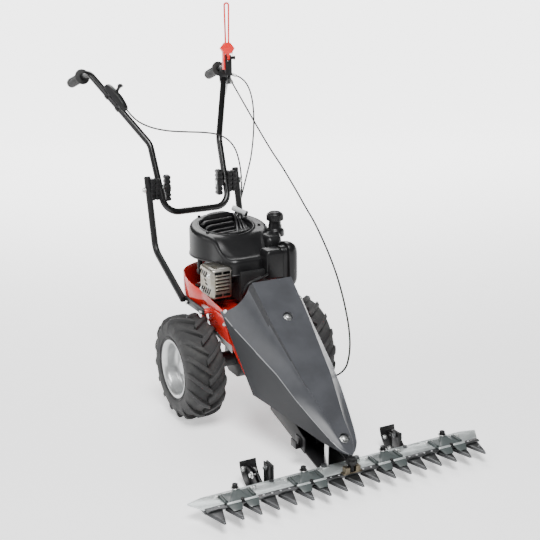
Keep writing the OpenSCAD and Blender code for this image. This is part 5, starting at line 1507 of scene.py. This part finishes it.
class MOWER_OT_cutter(bpy.types.Operator):
    """Back plate, comb, teeth and the sliding knife"""
    bl_idname = "mower.cutter"
    bl_label = "Cutter bar"

    def execute(self, context):
        sizes = context.scene.mower_bar
        edge = sizes.tooth_edge * 1000
        step = Vector((sizes.pitch, 0, 0))
        start = -step * (sizes.teeth - 1) / 2
        cad_copy("plate", "back_plate", "galvanised", "chassis", 0.0008)
        cad_copy("comb_rail", "comb_bar", "dark_steel", "chassis", 0.0006)
        teeth = soften(blade(*COMB_TOOTH, edge * 0.8), 0.0004, 1)
        dress(row("comb_fingers", teeth, sizes.teeth, start, step, "dark_steel"), "dark_steel", "chassis",
              "comb_teeth")
        sections = soften(blade(*SECTION, edge), 0.0003, 1)
        dress(row("knife_blades", sections, sizes.teeth, start, step, "dark_steel"), "dark_steel", "knife",
              "knife_sections")
        cad_copy("knife_spine", "knife_back", "dark_steel", "knife", 0.0012)
        rivet = Shape().lathe(mm(((0, 46), (3.4, 46), (3.2, 47), (2.2, 47.9), (0, 48.2))), 16,
                              Matrix.Translation(at(0, RIVET_Y, 0)))
        dress(row("knife_rivets", as_object("rivet", rivet), 2 * sizes.teeth - 2, start + step * 0.25,
                  step / 2, "steel"),
              "steel", "knife", smooth=60)
        stub = Shape().box(at(-6, -651, 31.4), at(6, -645, 36.6))
        dress(row("comb_stubs", soften(as_object("stub", stub), 0.0008, 2), sizes.teeth - 1, start + step / 2,
                  step, "zinc"),
              "zinc", "chassis")
        cad_copy("knife_fork", "knife_driver", "driver_brass", "knife", 0.001)
        return {"FINISHED"}


def holder(x):
    """Spring holder over two teeth: its plate, raised tongue, end ribs and down-turned flaps."""
    shape = Shape()
    outline = rounded([(-46, -600), (46, -600), (46, -640), (40, -652), (-40, -652), (-46, -640)], 3, 2)
    shape.prism([((x + a) / 1000, (b - MID_Y) / 1000) for a, b in outline], 0.0467, 0.0504)
    rings = []
    for y, w, low, high in ((-602, 5, 50, 63), (-606, 9, 50, 66.5), (-613, 13, 50, 67), (-620, 17, 50, 64.5),
                            (-630, 23, 50, 59), (-640, 29, 50, 54.5), (-650, 34, 50, 52)):
        half = [(0.6 * w, high - 0.8), (0.96 * w, low + (high - low) * 0.45), (w, low)]
        section = [(-a, z) for a, z in reversed(half)] + [(0, high)] + half
        rings.append([at(x + a, y, z) for a, z in section])
    shape.loft(rings)
    for a in (-44, -38.5, 37, 42.5):
        shape.box(at(x + a - 1.6, -646, 49), at(x + a + 1.6, -606, 55.5))
    for c in (-24, 24):
        rings = []
        for y, z, w in ((-655.5, 50.5, 19), (-659, 52, 19), (-666, 49.5, 18), (-675, 45.5, 15),
                        (-682, 42.6, 12)):
            rings.append([at(x + c - w, y, z), at(x + c + w, y, z), at(x + c + w, y + 2.4, z - 2.4),
                          at(x + c - w, y + 2.4, z - 2.4)])
        shape.loft(rings)
    return shape


class MOWER_OT_holders(bpy.types.Operator):
    """Knife holders with their bright lips and bolts"""
    bl_idname = "mower.holders"
    bl_label = "Knife holders"

    def execute(self, context):
        plates, lips, bolts, nuts = Shape(), Shape(), Shape(), Shape()
        ends = ((-20.5, 0.4), (-19.5, 0.85), (-17, 1), (17, 1), (19.5, 0.85), (20.5, 0.4))
        for x in HOLDERS:
            plates.join(holder(x))
            for c in (-24.5, 24.5):
                lips.loft([[at(x + c + a, -657 + 3.6 * u, 52.2 + 3 * v) for u, v in circle(grow, 8)]
                           for a, grow in ends])
            bolts.bolt(axes(at(x, -610, 66.4)), 0.0078, 0.0085, 1.1)
            bolts.bolt(axes(at(x, -655, 50.4)), 0.0052, 0.006, 1.3)
            nuts.disc(0.0115, 0.0656, 0.067, 28, Matrix.Translation(at(x, -610, 0)))
            for a, b in ((-50.5, -606), (51, -604), (58, -606)):
                nuts.bolt(axes(at(x + a, b, 46.4)), 0.0042, 0.005, 1.5)
        piece("spring_holders", plates, "holder_paint", "chassis", "knife_holders", edge=0.0009, angle=34)
        piece("holder_lips", lips, "galvanised", "chassis", edge=0, smooth=60)
        piece("holder_bolts", bolts, "black_paint", "chassis", edge=0.0006)
        piece("holder_nuts", nuts, "zinc", "chassis", edge=0.0004, segments=1)
        cad_copy("bar_fasteners", "bar_bolts", "dark_steel", "chassis", 0.0006, 1)
        return {"FINISHED"}


SKID_X = 229.5
SKID_Y = -584
SHOE_Y, SHOE_R, SHOE_IN = 39, 70, 66.2


def skid_rib():
    """Outline of a stiffening rib in the hollow of the shoe, from the plate's rear edge."""
    hollow = [(SHOE_Y + SHOE_IN * math.sin(a), SHOE_R - SHOE_IN * math.cos(a))
              for a in (math.radians(10 * k) for k in range(8))]
    return [(10, 3.8)] + hollow + [(88, 50), (66, 50), (44, 40), (12, 14)]


class MOWER_OT_skids(bpy.types.Operator):
    """Height skids on their brackets"""
    bl_idname = "mower.skids"
    bl_label = "Skids"

    def execute(self, context):
        cad_copy("skid_mounts", "skid_brackets", "black_paint", "chassis", 0.0008)
        for side, word in SIDES:
            cad_copy("skid_shoe_" + word, "skid_" + word, "black_paint", word + "_skid", 0.001)
            ribs, bolts = Shape(), Shape()
            outline = mm(skid_rib())
            for inset in (-2, 9):
                ribs.prism(outline, -0.002, 0.002, upright(side * (SKID_X + inset), SKID_Y))
            place = axes(at(side * (SKID_X - 6), SKID_Y + 58, 40), (side, 0, 0))
            bolts.disc(0.0032, 0, 0.02, 16, place)
            bolts.bolt(place @ Matrix.Translation((0, 0, 0.017)), 0.0058)
            for inset, turn in ((17, 64), (-14, 56), (-14, 26)):
                a = math.radians(turn)
                spot = at(side * (SKID_X + inset), SKID_Y + SHOE_Y + SHOE_IN * math.sin(a),
                          SHOE_R - SHOE_IN * math.cos(a))
                bolts.bolt(axes(spot, (0, -math.sin(a), math.cos(a))), 0.0046)
            piece("skid_ribs_" + word, ribs, "black_paint", word + "_skid", edge=0.0006)
            piece("skid_bolts_" + word, bolts, "zinc", word + "_skid", edge=0.0004, segments=1)
        return {"FINISHED"}


# Stage, panel and the run


FLOOR_SIDES = 96
RIM_HEIGHT = 8
WORLD_LIGHT = 0.1
LIT_WAY = (0.46, 0.89, 0)
LIT_FROM, LIT_TO = -0.6, 5.0
NEAR_GLOW = (0.16, 0.16, 0.16)
LAMPS = [("key", (-0.7, -1.9, 3.6), 2.0, 1.0), ("fill", (-2.4, 0.1, 2.0), 1.3, 0.1),
         ("back", (0.8, 2.8, 3.0), 2.6, 0.5)]
LAMP_AIM = Vector((0, -0.1, 0.35))
CAMERA_TURN = (-27.353, 16.644, -0.48)
CAMERA_AIM = Vector((0, -0.2432, 0.4969))
CAMERA_DISTANCE = 3.107


def lay_floor(sizes):
    """Pale floor with a raised rim; it glows more towards the back."""
    half = sizes.floor_size / 2
    n = FLOOR_SIDES
    rim = [[j, j + n, (j + 1) % n + n, (j + 1) % n] for j in range(n)]
    floor = as_object("floor", Shape().add([(x, y, z) for z in (0, RIM_HEIGHT)
                                            for x, y in circle(half, n)],
                                           [list(range(n))] + rim))
    look = Look("floor")
    cloud = look.noise(0.6, 2)
    tone = look.mix(cloud, rgb(sizes.floor_tint), rgb(sizes.floor_tint, 1.02))
    reach = look.node("ShaderNodeVectorMath", {"operation": "DOT_PRODUCT"}, {0: look.place, 1: LIT_WAY},
                      output="Value")
    glow = look.mix(reach.between(LIT_FROM, LIT_TO), rgb(NEAR_GLOW), rgb((1, 1, 1)))
    floor.data.materials.append(look.done(tone, 0.9, specular=0.1, glow=glow, shine=sizes.floor_glow))


def light(sizes):
    """Faint even light of the studio and its three soft lamps."""
    world = bpy.data.worlds.new("studio")
    world.use_nodes = True
    sky = world.node_tree.nodes["Background"].inputs
    sky["Color"].default_value = (1, 1, 1, 1)
    sky["Strength"].default_value = WORLD_LIGHT
    bpy.context.scene.world = world
    for name, spot, size, share in LAMPS:
        data = bpy.data.lights.new(name, "AREA")
        data.shape = "DISK"
        data.size = size
        data.energy = sizes.key_power * share
        lamp = placed(name, data)
        lamp.location = spot
        lamp.rotation_mode = "QUATERNION"
        lamp.rotation_quaternion = (LAMP_AIM - Vector(spot)).to_track_quat("-Z", "Y")


def aim_camera(sizes):
    """Camera of the picture, from its turn, its aim and its distance."""
    data = bpy.data.cameras.new("camera")
    data.lens = sizes.lens
    data.sensor_width = 36
    camera = placed("camera", data)
    az, el, roll = (math.radians(a) for a in CAMERA_TURN)
    back = Vector((math.sin(az) * math.cos(el), -math.cos(az) * math.cos(el), math.sin(el)))
    right = Vector((math.cos(az), math.sin(az), 0))
    up = back.cross(right)
    right, up = (right * math.cos(roll) + up * math.sin(roll),
                 up * math.cos(roll) - right * math.sin(roll))
    turn = Matrix((right, up, back)).transposed().to_4x4()
    turn.translation = CAMERA_AIM + back * CAMERA_DISTANCE
    camera.matrix_world = turn
    bpy.context.scene.camera = camera


class MOWER_OT_stage(bpy.types.Operator):
    """Pale floor, soft studio light and the camera of the picture"""
    bl_idname = "mower.stage"
    bl_label = "Stage"

    def execute(self, context):
        sizes = context.scene.mower_stage
        lay_floor(sizes)
        light(sizes)
        aim_camera(sizes)
        return {"FINISHED"}


class MOWER_OT_plain_nodes(bpy.types.Operator):
    """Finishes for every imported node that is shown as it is"""
    bl_idname = "mower.plain_nodes"
    bl_label = "Inner pieces"

    def execute(self, context):
        for entry in frame["record"]["subparts"]:
            node = frame["nodes"][entry["node"]]
            node.data.materials.clear()
            node.data.materials.append(LOOKS[entry["material_slot"]])
        return {"FINISHED"}


STEPS = [MOWER_OT_cables, MOWER_OT_wheels, MOWER_OT_cover, MOWER_OT_chassis, MOWER_OT_shroud, MOWER_OT_fuel,
         MOWER_OT_intake, MOWER_OT_exhaust, MOWER_OT_block, MOWER_OT_tubes, MOWER_OT_grips, MOWER_OT_clamps,
         MOWER_OT_throttle, MOWER_OT_levers, MOWER_OT_cutter, MOWER_OT_holders, MOWER_OT_skids,
         MOWER_OT_stage, MOWER_OT_plain_nodes]
GROUPS = {"mower_stage": StageSettings, "mower_wheels": WheelSettings, "mower_cover": CoverSettings,
          "mower_engine": EngineSettings, "mower_handle": HandleSettings, "mower_bar": BarSettings}


class MOWER_PT_panel(bpy.types.Panel):
    """Settings and steps of the mower"""
    bl_idname = "MOWER_PT_panel"
    bl_label = "Sickle Bar Mower"
    bl_space_type = "VIEW_3D"
    bl_region_type = "UI"
    bl_category = "Mower"

    def draw(self, context):
        for key in GROUPS:
            box = self.layout.box()
            for label in GROUPS[key].__annotations__:
                box.prop(getattr(context.scene, key), label)
        for step in STEPS:
            self.layout.operator(step.bl_idname)


def register():
    """Makes the settings, steps and panel known to Blender."""
    for kind in [*GROUPS.values(), *STEPS, MOWER_PT_panel]:
        bpy.utils.register_class(kind)
    for key, kind in GROUPS.items():
        setattr(bpy.types.Scene, key, PointerProperty(type=kind))


def unregister():
    """Takes the settings, steps and panel out again."""
    for key in GROUPS:
        delattr(bpy.types.Scene, key)
    for kind in reversed([*GROUPS.values(), *STEPS, MOWER_PT_panel]):
        bpy.utils.unregister_class(kind)


def main():
    """Runs every step in order."""
    register()
    LOOKS.update({name: make(name, *values) for name, (make, *values) in FINISHES.items()})
    TREES.update(row=row_tree(), ring=ring_tree(), pipe=pipe_tree())
    for step in STEPS:
        group, name = step.bl_idname.split(".")
        if "FINISHED" not in getattr(getattr(bpy.ops, group), name)():
            raise RuntimeError("the step " + step.bl_label + " did not finish")


if __name__ == "__main__":
    main()
